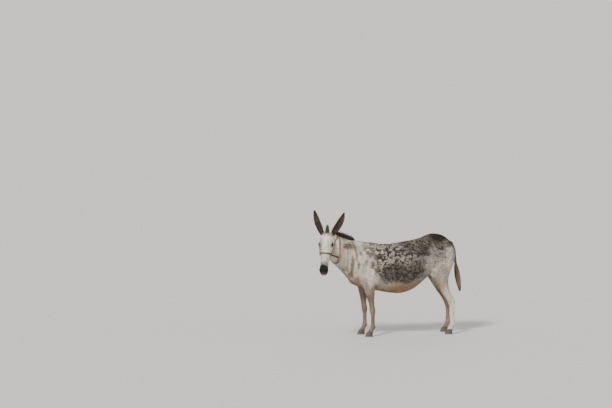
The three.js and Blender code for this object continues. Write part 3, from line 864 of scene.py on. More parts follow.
def newMaterial(name, **inputs):
    material = bpy.data.materials.new(name)
    material.use_nodes = True
    shader = material.node_tree.nodes["Principled BSDF"]
    for key, value in inputs.items():
        shader.inputs[key.replace("_", " ")].default_value = value
    return material, material.node_tree, shader


def addNode(tree, kind, **settings):
    made = tree.nodes.new("ShaderNode" + kind)
    for key, value in settings.items():
        setattr(made, key, value)
    return made


# A number or a colour is set on the socket, and anything else is linked to it
def plug(tree, value, socket):
    if isinstance(value, (int, float)):
        socket.default_value = value
    elif isinstance(value, tuple):
        socket.default_value = (*value, 1.0)
    else:
        tree.links.new(value, socket)


def attributeOf(tree, name, output="Fac"):
    return addNode(tree, "Attribute", attribute_name=name).outputs[output]


def objectPlace(tree):
    return addNode(tree, "TexCoord").outputs["Object"]


def axesOf(tree, vector):
    made = addNode(tree, "SeparateXYZ")
    tree.links.new(vector, made.inputs[0])
    return made.outputs


def noiseOn(tree, vector, scale, detail=2.0, roughness=0.5):
    noise = addNode(tree, "TexNoise")
    noise.inputs["Scale"].default_value = scale
    noise.inputs["Detail"].default_value = detail
    noise.inputs["Roughness"].default_value = roughness
    tree.links.new(vector, noise.inputs["Vector"])
    return noise.outputs["Fac"]


def mapRange(tree, value, low, high, newLow=0.0, newHigh=1.0):
    made = addNode(tree, "MapRange", interpolation_type="SMOOTHSTEP")
    for key, number in (("From Min", low), ("From Max", high), ("To Min", newLow), ("To Max", newHigh)):
        made.inputs[key].default_value = number
    tree.links.new(value, made.inputs["Value"])
    return made.outputs["Result"]


def mathOf(tree, operation, first, second=0):
    made = addNode(tree, "Math", operation=operation)
    plug(tree, first, made.inputs[0])
    plug(tree, second, made.inputs[1])
    return made.outputs[0]


def product(tree, first, second):
    return mathOf(tree, "MULTIPLY", first, second)


# 1 where a value is near the middle, and 0 past the far gap from it
def bandOf(tree, value, middle, near, far):
    gap = mathOf(tree, "ABSOLUTE", mathOf(tree, "SUBTRACT", value, middle))
    return mapRange(tree, gap, near, far, 1.0, 0.0)


# A Mix node's two inputs and its output, by what it mixes
mixSockets = {"FLOAT": (2, 3, 0), "VECTOR": (4, 5, 1), "RGBA": (6, 7, 2)}


def mixOf(tree, kind, share, first, second, **settings):
    made = addNode(tree, "Mix", data_type=kind, **settings)
    one, other, output = mixSockets[kind]
    plug(tree, share, made.inputs[0])
    plug(tree, first, made.inputs[one])
    plug(tree, second, made.inputs[other])
    return made.outputs[output]


def mixColour(tree, share, first, second):
    return mixOf(tree, "RGBA", share, first, second)


# Noise drawn out along the axes where its scale is small
def drawnNoise(tree, vector, scale, detail, roughness=0.5):
    made = addNode(tree, "Mapping")
    made.inputs["Scale"].default_value = scale
    tree.links.new(vector, made.inputs["Vector"])
    return noiseOn(tree, made.outputs["Vector"], 1.0, detail, roughness)


def addBump(tree, shader, height, strength, distance):
    bump = addNode(tree, "Bump")
    bump.inputs["Strength"].default_value = strength
    bump.inputs["Distance"].default_value = distance
    tree.links.new(height, bump.inputs["Height"])
    tree.links.new(bump.outputs["Normal"], shader.inputs["Normal"])


def makeCoatMaterial():
    material, tree, shader = newMaterial("roanCoat", Roughness=0.8, Specular_IOR_Level=0.25,
                                         Sheen_Weight=0.04, Sheen_Roughness=0.5)
    root, place = attributeOf(tree, "root", "Vector"), objectPlace(tree)
    # flecks: clumps of dark hairs in a pale coat, large ones with small ones between, held round by
    # taking them partly where the hair lies and partly where it grows
    spot = mixOf(tree, "VECTOR", 0.6, root, place)
    amount = attributeOf(tree, "fleck")
    dense = mapRange(tree, amount, 0, 1, -0.075, 0.06)
    large = mathOf(tree, "ADD", noiseOn(tree, spot, 27, 1.0), dense)
    small = mathOf(tree, "ADD", noiseOn(tree, spot, 64, 1.0), dense)
    large = product(tree, mapRange(tree, large, 0.52, 0.56), mapRange(tree, amount, 0.3, 0.62, 0.15, 1.0))
    small = mapRange(tree, small, 0.535, 0.60, 0.0, 0.80)
    clumps = mathOf(tree, "MAXIMUM", large, small)
    fleck = product(tree, clumps, mapRange(tree, amount, 0.03, 0.3))
    colour = mixColour(tree, fleck, attributeOf(tree, "coatColour", "Color"), (0.052, 0.037, 0.028))
    # pale hairs between the flecks
    pale = product(tree, mapRange(tree, noiseOn(tree, root, 85), 0.56, 0.66), product(tree, amount, 0.55))
    colour = mixColour(tree, pale, colour, (0.55, 0.50, 0.43))
    # upright streaks, then each tuft's own lightness, darker at its root
    tone = mapRange(tree, drawnNoise(tree, root, (34, 34, 5), 2.0), 0.32, 0.68, 0.84, 1.16)
    tone = product(tree, tone, mapRange(tree, attributeOf(tree, "strand"), 0, 1, 0.74, 1.24))
    tone = product(tree, tone, mapRange(tree, attributeOf(tree, "reach"), 0, 1, 0.80, 1.12))
    # single hairs, lengthwise on the body and upright on the head, ears, legs and tail
    lengthwise = drawnNoise(tree, place, (110, 620, 520), 3.0, 0.6)
    upright = drawnNoise(tree, place, (640, 640, 110), 3.0, 0.6)
    hairs = mixOf(tree, "FLOAT", attributeOf(tree, "upright"), lengthwise, upright)
    tone = product(tree, tone, mapRange(tree, hairs, 0.34, 0.66, 0.80, 1.16))
    shade = addNode(tree, "CombineColor")
    for socket in shade.inputs:
        tree.links.new(tone, socket)
    colour = mixOf(tree, "RGBA", 1.0, colour, shade.outputs[0], blend_type="MULTIPLY")
    tree.links.new(colour, shader.inputs["Base Color"])
    addBump(tree, shader, hairs, 0.55, 0.002)
    return material


def makeHairMaterial(name, dark, light):
    material, tree, shader = newMaterial(name, Roughness=0.5, Sheen_Weight=0.1)
    strand = mapRange(tree, attributeOf(tree, "strand"), 0.2, 1.0)
    colour = mixColour(tree, strand, dark, light)
    tip = mapRange(tree, attributeOf(tree, "reach"), 0.3, 1.0, 0.0, 0.5)
    colour = mixColour(tree, tip, colour, light)
    tree.links.new(colour, shader.inputs["Base Color"])
    addBump(tree, shader, drawnNoise(tree, objectPlace(tree), (900, 900, 90), 2.0), 0.3, 0.001)
    return material


coatMaterial = makeCoatMaterial()
hairMaterial = makeHairMaterial("maneHair", (0.013, 0.009, 0.0065), (0.065, 0.040, 0.026))
tailMaterial = makeHairMaterial("tailHair", (0.080, 0.050, 0.032), (0.29, 0.19, 0.12))
skin.data.materials.clear()
skin.data.materials.append(coatMaterial)
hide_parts(*bodyNodes)
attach(skin, "root")

# Tufts and locks

# The halter's own measures come first, because no tufts grow under its two loops
halterPlan = {
    "width": 0.020,
    "cheekWidth": 0.016,
    "thickness": 0.0034,
    "rise": 0.0016,                 # of a strap's inner face above the skin
    "edge": 0.0009,                 # rounding of a strap's edges
    "columns": 7,                   # points across a strap
    "rowTurn": 1.6,                 # degrees from one row of a loop to the next
    "nosePlace": (268, -80, 0),     # down the face, out of it and across, as on the head
    "noseTilt": 0.12,
    "noseTurns": (-79, 79),         # degrees round the nose from its top, for noseband and chin strap
    "chinTurns": (109, 251),
    "stallPlace": (-0.6594, -0.0107, 1.110),   # the middle of the loop of crown and throat strap
    "stallNormal": (-0.85, -0.5, 0.03),
    "stallSplit": 84,               # degrees from the top to where crown and throat strap meet
    "endLift": 0.004,               # of a strap's end where it meets a ring
    "cheekTop": (-0.020, -0.010, 0.120),   # of both cheek straps from the stall's place, then aside
    "cheekAside": 0.075,
    "cheekRows": 96,
    "ringPlace": (268, -84, 65),
    "ringRadius": 0.016,
    "ringWire": 0.0035,
    "bare": 0.32,                   # share of a strap's width with no tufts on each side of its middle
    "stitchLine": 0.70,             # share of the half width
    "stitchStep": 0.0052,
    "keeperWidth": 0.0235,
    "keeperThickness": 0.0022,
    "buckleRow": 44,                # how far down the cheek strap's rows the buckle sits
    "buckleRadius": 0.0150,
    "buckleWire": 0.0014,
    "tongueRadius": 0.0011,
    "tongueLength": 0.0225,
}
noseNormal = noseWay - browWay * halterPlan["noseTilt"]
tuftSides, lockSides = 3, 4


# One closed mesh of many locks. Every lock has rings of points across its line and a point at its tip.
def lockMesh(name, lines, across, raised, halfWidths, thickness, sides):
    count, rings = lines.shape[:2]
    # a three-sided lock has a flat side outward, and any other a corner
    angles = 2 * np.pi * (np.arange(sides) / sides + 0.25 + (0.5 / 3 if sides == tuftSides else 0))
    half = halfWidths[:, :-1, None, None]
    ring = (lines[:, :-1, None] + across[:, None, None] * (np.cos(angles)[:, None] * half)
            + raised[:, None, None] * (np.sin(angles)[:, None] * half * thickness))
    body = ring.reshape(count, (rings - 1) * sides, 3)
    points = np.concatenate([body, lines[:, -1:]], 1)
    each = points.shape[1]
    faces = []
    for row in range(rings - 2):
        for k in range(sides):
            a, b = row * sides + k, row * sides + (k + 1) % sides
            faces += [(a, b, b + sides), (a, b + sides, a + sides)]
    last = (rings - 2) * sides
    for k in range(sides):
        faces.append((last + k, last + (k + 1) % sides, each - 1))
    for k in range(1, sides - 1):
        faces.append((0, k + 1, k))
    faces = np.array(faces)[None] + (np.arange(count) * each)[:, None, None]
    mesh = bpy.data.meshes.new(name)
    mesh.vertices.add(count * each)
    mesh.vertices.foreach_set("co", points.astype(np.float32).ravel())
    flat = faces.reshape(-1, 3)
    mesh.loops.add(flat.size)
    mesh.loops.foreach_set("vertex_index", flat.ravel().astype(np.int32))
    mesh.polygons.add(len(flat))
    mesh.polygons.foreach_set("loop_start", np.arange(0, flat.size, 3, dtype=np.int32))
    mesh.update(calc_edges=True)
    mesh.polygons.foreach_set("use_smooth", np.ones(len(flat), bool))
    reach = np.concatenate([np.repeat(np.arange(rings - 1), sides), [rings - 1]]) / (rings - 1)
    addFloats(mesh, "reach", np.tile(reach, count))
    return mesh, each, reach


# Gives every lock its own small patch of the piece's unwrap
def placeOnUnwrap(mesh, each, reach, spots, sides):
    turn = np.concatenate([np.tile(np.arange(sides) / max(sides - 1, 1), (each - 1) // sides), [0.5]])
    patch = np.stack([turn - 0.5, reach - 0.5], 1) * 0.003
    places = np.clip(spots, 0.002, 0.998)[:, None] + patch[None]
    layer = mesh.uv_layers.new(name="OFBake")
    corner = np.empty(len(mesh.loops), np.int32)
    mesh.loops.foreach_get("vertex_index", corner)
    layer.uv.foreach_set("vector", places.reshape(-1, 2)[corner].astype(np.float32).ravel())


# Where a tuft's root lies on its piece's unwrap: round and along the part it grows on
def unwrapBody(roots):
    turn = np.arctan2(roots[:, 1] - middleY, roots[:, 2] - 0.86) / (2 * np.pi) + 0.5
    return np.stack([turn, roots[:, 0]], 1)


def unwrapHead(roots):
    inHead = headCoords(roots)
    return np.stack([np.arctan2(inHead[:, 2], inHead[:, 1] + 100) / (2 * np.pi) + 0.5, inHead[:, 0]], 1)


def unwrapLegs(roots):
    right = roots[:, 1] > middleY
    centreY = middleY + np.where(right, 0.12, -0.12)
    hindX = 0.78 - 0.22 * ramp(roots[:, 2], 0.45, 0.72)
    centreX = np.where(roots[:, 0] < 0.2, -0.21 - 0.04 * right, hindX)
    turn = np.arctan2(roots[:, 1] - centreY, roots[:, 0] - centreX) / (2 * np.pi) + 0.5
    return np.stack([turn * 0.49 + 0.5 * right, roots[:, 2]], 1)


# Spots spread over the whole of an unwrap, with a small border
def fitted(spots):
    low, high = spots.min(0), spots.max(0)
    return 0.01 + 0.98 * (spots - low) / (high - low)


skin.data.calc_loop_triangles()
triangles = np.empty(len(skin.data.loop_triangles) * 3, np.int32)
skin.data.loop_triangles.foreach_get("vertices", triangles)
triangles = triangles.reshape(-1, 3)
triangleMiddles = skinPlaces[triangles].mean(1)
triangleFaces = np.cross(skinPlaces[triangles[:, 1]] - skinPlaces[triangles[:, 0]],
                         skinPlaces[triangles[:, 2]] - skinPlaces[triangles[:, 0]])
triangleAreas = np.linalg.norm(triangleFaces, axis=1) / 2
triangleShares = {part: values[triangles].mean(1) for part, values in shares.items()}


def triangleIs(part):
    if part == "body":
        return ~(triangleIs("head") | triangleIs("ears") | triangleIs("legs") | triangleIs("neck")
                 | triangleIs("tail"))
    return triangleShares[part] > 0.5


isLeft = triangleMiddles[:, 1] < middleY
isFront = triangleMiddles[:, 0] < 0.15
isHeadLeft = headCoords(triangleMiddles)[:, 2] > 0
isAnywhere = np.ones(len(triangleMiddles), bool)

# Tufts of each part: their length, half width and rise above the skin, in millimetres
tuftPlan = {
    "body": (30, 1.75, 3.6),
    "neck": (26, 1.6, 3.2),
    "head": (16, 0.72, 1.2),
    "ears": (12, 0.7, 1.2),
    "legs": (16, 1.0, 1.9),
    "tail": (24, 1.8, 4.0),
}
# Each coat piece: how many tufts, the part and the triangles of it that they grow on, unwrap, slot
coatPieces = {
    "coat_front_left": (14500, "body", isLeft & isFront, unwrapBody, "grey_coat"),
    "coat_front_right": (14500, "body", ~isLeft & isFront, unwrapBody, "grey_coat"),
    "coat_rear_left": (14500, "body", isLeft & ~isFront, unwrapBody, "grey_coat"),
    "coat_rear_right": (14500, "body", ~isLeft & ~isFront, unwrapBody, "grey_coat"),
    "coat_neck": (13000, "neck", isAnywhere, unwrapBody, "pale_coat"),
    "coat_head_left": (14500, "head", isHeadLeft, unwrapHead, "pale_coat"),
    "coat_head_right": (14500, "head", ~isHeadLeft, unwrapHead, "pale_coat"),
    "coat_ears": (9000, "ears", isAnywhere, unwrapHead, "ear_coat"),
    "coat_forelegs": (12500, "legs", isFront, unwrapLegs, "leg_coat"),
    "coat_hindlegs": (14500, "legs", ~isFront, unwrapLegs, "leg_coat"),
    "coat_tail": (2200, "tail", isAnywhere, unwrapBody, "grey_coat"),
}


# Roots spread evenly by area over some triangles of the skin, as a function that gives the value
# of anything known at the skin's points where those roots lie
def scatter(chosen, count, rng):
    found = np.nonzero(chosen)[0]
    weight = triangleAreas[found]
    picked = rng.choice(found, count, p=weight / weight.sum())
    first, second = rng.random(count), rng.random(count)
    flip = first + second > 1
    first, second = np.where(flip, 1 - first, first), np.where(flip, 1 - second, second)
    weights = np.stack([1 - first - second, first, second], 1)
    corners = triangles[picked]

    def between(values):
        share = weights if values.ndim == 1 else weights[..., None]
        return np.sum(values[corners] * share, 1)

    return between


def underStrap(roots, middle, normal):
    return np.abs((roots - middle) @ normal) < halterPlan["width"] * halterPlan["bare"]


# No tufts grow on the eyes, in the nostrils, between the lips or under the middle of the halter's
# two loops
def isHairy(roots):
    hairy = np.ones(len(roots), bool)
    for side in halves.values():
        far, front, _, share = lidCoords(roots, side)
        hairy &= ~((far < 0.05) & (front > 0) & (share < 1.3))
        share, _, depth, _ = nostrilCoords(roots, side)
        hairy &= ~((share < 1.15) & (np.abs(depth) < 22))
    down, gap = lipCoords(roots)
    hairy &= ~((np.abs(gap) < 5.5) & (down > lipPlan["corner"]) & (down < headReach["to"]))
    onNeck = (roots[:, 0] < -0.55) & (roots[:, 2] > 0.85)
    hairy &= ~(underStrap(roots, halterPlan["stallPlace"], unit(halterPlan["stallNormal"])) & onNeck)
    onFace = headCoords(roots)[:, 1] > -200
    return hairy & ~(underStrap(roots, onHead(*halterPlan["nosePlace"]), unit(noseNormal)) & onFace)


def growCoat(name, count, part, where, unwrap, slotName, seed):
    length, halfWidth, rise = tuftPlan[part]
    rng = np.random.default_rng(seed)
    between = scatter(triangleIs(part) & where, count, rng)
    roots, normals, ways = between(skinPlaces), unit(between(skinNormals)), between(skinFlow)
    colour, fleck, upright = between(skinColour), between(skinFleck), between(skinUpright)
    kept = isHairy(roots)
    roots, normals, ways, colour, fleck, upright = [
        values[kept] for values in (roots, normals, ways, colour, fleck, upright)]
    count = len(roots)
    across = unit(np.cross(normals, ways))
    ways = unit(ways + across * rng.normal(0, 0.16, (count, 1)))
    across = unit(np.cross(normals, ways))
    size = rng.uniform(0.7, 1.25, count)
    # shorter on the muzzle, along the lips and round the eyes
    down, _, aside = headCoords(roots).T
    onMuzzle = ramp(down, 400, 470) * (down < 570) * (np.abs(aside) < 90)
    size = size * (1 - 0.45 * onMuzzle)
    alongLips = onMuzzle * hump(np.abs(lipCoords(roots)[1]), 11)
    size = size * (1 - 0.5 * alongLips)
    for side in halves.values():
        far, _, _, share = lidCoords(roots, side)
        size = size * np.where(far < 0.06, 0.45 + 0.55 * ramp(share, 1.2, 3.0), 1)
    long = length / 1000 * size
    wide = halfWidth / 1000 * rng.uniform(0.75, 1.25, count) * np.minimum(1, 0.3 + 0.75 * size)
    lift = rise / 1000 * rng.uniform(0.45, 1.15, count) * (1 - 0.5 * onMuzzle)
    foot = roots - normals * 0.0009            # set a little under the skin
    middle = roots + ways * (long * 0.5)[:, None] + normals * (lift * 0.75)[:, None]
    curl = across * (rng.normal(0, 0.10, count) * long)[:, None]
    tip = roots + ways * long[:, None] + normals * (lift * 0.8)[:, None] + curl
    lines = np.stack([foot, middle, tip], 1)
    widths = np.stack([wide * 0.8, wide, wide * 0], 1)
    mesh, each, reach = lockMesh(name, lines, across, normals, widths, 0.42, tuftSides)
    addColours(mesh, "coatColour", np.repeat(colour, each, 0))
    addFloats(mesh, "fleck", np.repeat(fleck, each))
    addVectors(mesh, "root", np.repeat(roots, each, 0))
    addFloats(mesh, "upright", np.repeat(upright, each))
    addFloats(mesh, "strand", np.repeat(rng.random(count), each))
    placeOnUnwrap(mesh, each, reach, fitted(unwrap(roots)), tuftSides)
    item = newObject(name, mesh)
    mesh.materials.append(coatMaterial)
    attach(item, "root")
    return len(mesh.polygons)


total = 0
for seed, (name, plan) in enumerate(coatPieces.items()):
    total += growCoat(name, *plan, seed + 1)
print("coat grown:", total, "triangles")

# Eyeballs

eyeballPlan = {
    "radius": 0.0197,
    "cornea": 0.0015,          # how far the clear front stands out
    "pupil": (0.30, 0.15),     # half length and half height, as shares of the radius
    "iris": 0.60,              # its own radius, as a share of the eyeball's
}


def makeEyeMaterial():
    material, tree, shader = newMaterial("wetEye", Roughness=0.12, Specular_IOR_Level=0.22)
    x, y, _ = axesOf(tree, attributeOf(tree, "gaze", "Vector"))

    def powerOf(value, power):
        return mathOf(tree, "POWER", mathOf(tree, "ABSOLUTE", value), power)

    length, height = eyeballPlan["pupil"]
    pupil = mathOf(tree, "ADD", powerOf(mathOf(tree, "DIVIDE", x, length), 2.6),
                   powerOf(mathOf(tree, "DIVIDE", y, height), 2.6))
    inPupil = mapRange(tree, pupil, 0.8, 1.15, 1.0, 0.0)
    off = mathOf(tree, "SQRT", mathOf(tree, "ADD", powerOf(x, 2), powerOf(y, 2)))
    turn = mathOf(tree, "ARCTAN2", y, x)
    spokes = addNode(tree, "CombineXYZ")
    tree.links.new(product(tree, turn, 7.0), spokes.inputs[0])
    tree.links.new(product(tree, off, 2.0), spokes.inputs[1])
    fibre = mapRange(tree, noiseOn(tree, spokes.outputs[0], 2.2, 3.0), 0.35, 0.68)
    iris = mixColour(tree, fibre, (0.009, 0.0045, 0.0025), (0.034, 0.015, 0.007))
    rim = mapRange(tree, off, eyeballPlan["iris"] - 0.10, eyeballPlan["iris"] - 0.01)
    iris = mixColour(tree, rim, iris, (0.008, 0.005, 0.004))
    colour = mixColour(tree, inPupil, iris, (0.002, 0.002, 0.003))
    white = mapRange(tree, off, eyeballPlan["iris"], eyeballPlan["iris"] + 0.06)
    colour = mixColour(tree, white, colour, (0.070, 0.040, 0.030))
    tree.links.new(colour, shader.inputs["Base Color"])
    return material


def makeEyeball(name, node, side, material):
    plan = eyeballPlan
    ball = addItem(bpy.ops.mesh.primitive_uv_sphere_add,
                   segments=72, ring_count=48, radius=plan["radius"], location=eyeMiddle[side])
    ball.name = name
    applyPlace()
    outward, along, lift = eyeAxes(side)
    places = placesOf(ball)
    spoke = unit(places - eyeMiddle[side])
    bulge = plan["cornea"] * ramp(spoke @ outward, 0.72, 0.92)
    movePlaces(ball, places + spoke * bulge[:, None])
    addVectors(ball.data, "gaze", np.stack([spoke @ along, spoke @ lift, spoke @ outward], 1))
    bpy.ops.object.shade_smooth()
    ball.data.materials.append(material)
    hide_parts(node)
    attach(ball, "root")


eyeMaterial = makeEyeMaterial()
for word, side in halves.items():
    makeEyeball("eyeball_" + word, "eye_" + word, side, eyeMaterial)
print("eyes set in")

# Mane, forelock, tail, lashes and whiskers


def skinTree(chosen):
    return BVHTree.FromPolygons(skinPlaces.tolist(), triangles[chosen].tolist())


fleshTree = skinTree(~triangleIs("ears"))
headTree = skinTree(triangleIs("head"))
headAndNeckTree = skinTree(triangleIs("head") | triangleIs("neck"))


# Locks that face any way round their own lines, as one piece
def hairPiece(name, lines, halfWidths, thickness, sides, material, seed, nodes=()):
    rng = np.random.default_rng(seed)
    run = unit(lines[:, -1] - lines[:, 0])
    across = unit(np.cross(run, rng.normal(size=run.shape)))
    raised = np.cross(run, across)
    mesh, each, reach = lockMesh(name, lines, across, raised, halfWidths, thickness, sides)
    addFloats(mesh, "strand", np.repeat(rng.random(len(lines)), each))
    spots = fitted(np.stack([lines[:, 0] @ unit((1, 0.6, 0)), lines[:, 0] @ unit((-0.6, 1, 0.5))], 1)
                   + rng.normal(0, 0.002, (len(lines), 2)))
    placeOnUnwrap(mesh, each, reach, spots, sides)
    mesh.materials.append(material)
    item = newObject(name, mesh)
    if nodes:
        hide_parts(*nodes)
    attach(item, "root")
    return item


manePlan = {
    "locks": 1700,
    "crest": ((-743, -57, 1270), (-713, -45, 1266), (-641, -18, 1242), (-561, 12, 1212),
              (-477, 39, 1184), (-426, 51, 1172)),
    "rise": 50,
    "foot": 12,               # added to every lock, whatever its rise
    "spread": 7.5,            # of the roots to both sides of the crest, and at most
    "widest": 15,
    "halfWidth": 1.5,
    "from": 0.27,             # the share of the crest before the first lock
}


def makeMane():
    plan = manePlan
    rng = np.random.default_rng(41)
    crest = np.array(plan["crest"]) / 1000
    far = np.concatenate([[0], np.cumsum(np.linalg.norm(np.diff(crest, axis=0), axis=1))])
    share = rng.uniform(plan["from"], 1.0, plan["locks"])
    centre = np.stack([np.interp(share * far[-1], far, crest[:, k]) for k in range(3)], 1)
    run = unit(crest[-1] - crest[1])
    sideWay = unit(np.cross(run, up))
    aside = np.clip(rng.normal(0, plan["spread"], plan["locks"]), -plan["widest"], plan["widest"]) / 1000
    roots, kept = [], []
    for k in range(plan["locks"]):
        hit = fleshTree.ray_cast(Vector(centre[k] + sideWay * aside[k] + up * 0.08), Vector((0, 0, -1)))
        if hit[0] is not None:
            roots.append(np.array(hit[0]))
            kept.append(k)
    roots, share, aside = np.array(roots), share[kept], aside[kept]
    count = len(roots)
    rise = plan["rise"] * (0.55 + 0.45 * np.sin(np.pi * (0.15 + share * 0.7))) / 1000
    clump = 0.85 + 0.22 * np.sin(share * 95) * np.sin(share * 41 + 1)
    rise = (rise + plan["foot"] / 1000) * rng.uniform(0.8, 1.15, count) * clump
    rise = rise * (1 - 0.45 * ramp(share, 0.9, 1.0))
    lean = up + run * (0.26 + 0.15 * rng.normal(size=(count, 1))) + sideWay * (aside * 22)[:, None]
    lean = unit(lean + sideWay * rng.normal(0, 0.10, (count, 1)))
    steps = np.array([-0.10, 0.22, 0.5, 0.78, 1.0])
    bend = (run * 0.16 + sideWay * (aside * 12)[:, None]) * rise[:, None]
    lines = (roots[:, None] + lean[:, None] * (steps * rise[:, None])[..., None]
             + bend[:, None] * (steps ** 2)[None, :, None])
    taper = np.array([1, 1, 0.85, 0.55, 0.0])
    widths = plan["halfWidth"] / 1000 * rng.uniform(0.7, 1.3, (count, 1)) * taper
    hairPiece("mane_hair", lines, widths, 0.6, lockSides, hairMaterial, 42, ["mane"])


# The forelock's root and tip down and out of the face, and half its breadth across and out
forelockPlan = {"locks": 620, "root": (24, -62), "tip": (-106, -36), "half": (28, 20), "halfWidth": 1.3}


def makeForelock():
    plan = forelockPlan
    rng = np.random.default_rng(51)
    count = plan["locks"]
    turn, wide = rng.uniform(0, 2 * np.pi, count), np.sqrt(rng.random(count))
    side, deep = np.cos(turn) * wide, np.sin(turn) * wide
    long = rng.uniform(0.62, 1.05, count) * (1 - 0.20 * wide ** 2)
    (rootDown, rootOut), (tipDown, tipOut) = plan["root"], plan["tip"]
    steps = np.array([-0.06, 0.2, 0.42, 0.64, 0.84, 1.0])
    lines = np.empty((count, len(steps), 3))
    for k, step in enumerate(steps):
        narrow = 1 - 0.46 * max(step, 0) ** 1.8
        down = rootDown + (tipDown - rootDown) * step * long
        out = rootOut + (tipOut - rootOut) * step + deep * plan["half"][1] * narrow
        across = side * plan["half"][0] * narrow
        offset = np.outer(down, noseWay) + np.outer(out, browWay) + np.outer(across, leftWay)
        lines[:, k] = poll + offset / 1000
    lines[:, 1:] += rng.normal(0, 0.0012, (count, len(steps) - 1, 3))
    taper = np.array([1, 1, 0.9, 0.75, 0.5, 0])
    widths = plan["halfWidth"] / 1000 * rng.uniform(0.7, 1.3, (count, 1)) * taper
    hairPiece("forelock_hair", lines, widths, 0.6, lockSides, hairMaterial, 52, ["forelock"])


tailPlan = {
    "locks": 1500,
    "top": (805.6, 1092),     # of the dock, along the body and up
    "drop": 600,              # from there to the end of the tail
    "settle": 26,             # how far the dock first stands out, and how far the rest leans back
    "sweep": 84,
    "from": 0.28,             # shares of the drop: the first locks, the switch and the last tips
    "switch": 0.42,
    "end": 0.985,
    "halfWidth": 1.5,
}


# The middle of the tail at a share of its drop
def tailPoint(share):
    (x, z), y = tailPlan["top"], np.full_like(share, middleY)
    x = x + tailPlan["settle"] * np.minimum(1, share * 9) + tailPlan["sweep"] * share ** 1.3
    return np.stack([x / 1000, y, (z - tailPlan["drop"] * share) / 1000], -1)


def makeTail():
    plan = tailPlan
    rng = np.random.default_rng(61)
    count = plan["locks"]
    start = plan["from"] + (0.60 - plan["from"]) * rng.random(count) ** 0.7
    end = np.minimum(start + rng.uniform(0.26, 0.66, count), plan["end"] - 0.09 * rng.random(count) ** 2)
    turn, wide = rng.uniform(0, 2 * np.pi, count), rng.uniform(0.08, 1, count) ** 0.42
    rings = 9
    lines = np.empty((count, rings, 3))
    for k in range(rings):
        share = start + (end - start) * k / (rings - 1)
        inSwitch = np.clip((share - plan["switch"]) / (plan["end"] - plan["switch"]), 0, 1)
        # the dock's hairs lie close, and the switch swells and then closes toward its tip
        half = 14 + 21 * np.sin(np.pi * (0.02 + 0.9 * inSwitch ** 0.8)) - 8 * inSwitch ** 3
        onDock = 22 - 9 * np.clip((share - 0.05) / 0.53, 0, 1)
        settle = ramp(k / (rings - 1), 0, 0.3)
        radius = blend(onDock - 4, half * wide, settle)
        wave = 1.6 * np.sin(share * 60 + turn * 5)
        lines[:, k] = tailPoint(share)
        lines[:, k, 0] += (np.cos(turn) * radius + wave) / 1000
        lines[:, k, 1] += (np.sin(turn) * radius + wave * 0.6) / 1000
    taper = np.array([0.7, 1, 1, 1, 0.95, 0.85, 0.7, 0.45, 0])
    widths = plan["halfWidth"] / 1000 * rng.uniform(0.7, 1.35, (count, 1)) * taper
    hairPiece("tail_hair", lines, widths, 0.55, lockSides, tailMaterial, 62, ["tail_switch"])


# Fine hairs, with their lengths and half widths in metres
fineHairPlan = {
    "eyelashes": {"upper": 105, "lower": 45, "length": (0.006, 0.0105), "halfWidth": 0.00022},
    "whiskers": {"count": 170, "length": (0.010, 0.024), "halfWidth": 0.00024},
    "ear_hair": {"count": 1300, "length": (0.012, 0.026), "halfWidth": 0.00055},
}


# Fine hairs that start on the skin at given places and bend as they go
def fineHairs(name, roots, ways, bends, lengths, material, seed):
    steps = np.array([-0.05, 0.3, 0.65, 1.0])
    lines = (roots[:, None] + ways[:, None] * (steps * lengths[:, None])[..., None]
             + bends[:, None] * (lengths[:, None] * steps ** 2)[..., None])
    widths = fineHairPlan[name]["halfWidth"] * np.ones((len(roots), 1)) * np.array([1, 0.9, 0.6, 0])
    hairPiece(name, lines, widths, 0.8, tuftSides, material, seed)


def makeLashes():
    plan = fineHairPlan["eyelashes"]
    rng = np.random.default_rng(71)
    roots, ways, bends, lengths = [], [], [], []
    for side in halves.values():
        outward, along, lift = eyeAxes(side)
        for k in range(plan["upper"] + plan["lower"]):
            # up or down, the lid's edge in degrees, and the share of the length
            sign, lid, short = (1, "upperLid", 1) if k < plan["upper"] else (-1, "lowerLid", 0.6)
            turn = rng.uniform(-0.82, 0.82)
            lon = math.radians(eyePlan["halfLength"] * turn)
            lat = math.radians(sign * eyePlan[lid] * math.sqrt(1 - turn * turn) * 1.06)
            level = outward * math.cos(lon) + along * math.sin(lon)
            spoke = level * math.cos(lat) + lift * math.sin(lat)
            roots.append(eyeMiddle[side] + spoke * (eyePlan["radius"] + 0.0010))
            ways.append(unit(spoke + along * turn * 0.5 - lift * 0.15 * sign + rng.normal(0, 0.08, 3)))
            bends.append(lift * sign * 0.35 + along * turn * 0.1)
            lengths.append(rng.uniform(*plan["length"]) * short)
    fineHairs("eyelashes", np.array(roots), np.array(ways), np.array(bends), np.array(lengths),
              hairMaterial, 72)


def makeWhiskers():
    plan = fineHairPlan["whiskers"]
    rng = np.random.default_rng(81)
    inHead = headCoords(triangleMiddles)
    chosen = ((inHead[:, 0] > 455) & (inHead[:, 0] < 570) & (np.abs(inHead[:, 2]) < 85)
              & (inHead[:, 1] > -150) & (triangleShares["head"] > 0.5))
    between = scatter(chosen, plan["count"], rng)
    roots, normals = between(skinPlaces), unit(between(skinNormals))
    ways = unit(normals + noseWay * 0.35 + rng.normal(0, 0.25, roots.shape))
    fineHairs("whiskers", roots, ways, np.tile(-up * 0.25, (len(roots), 1)),
              rng.uniform(*plan["length"], len(roots)), hairMaterial, 82)


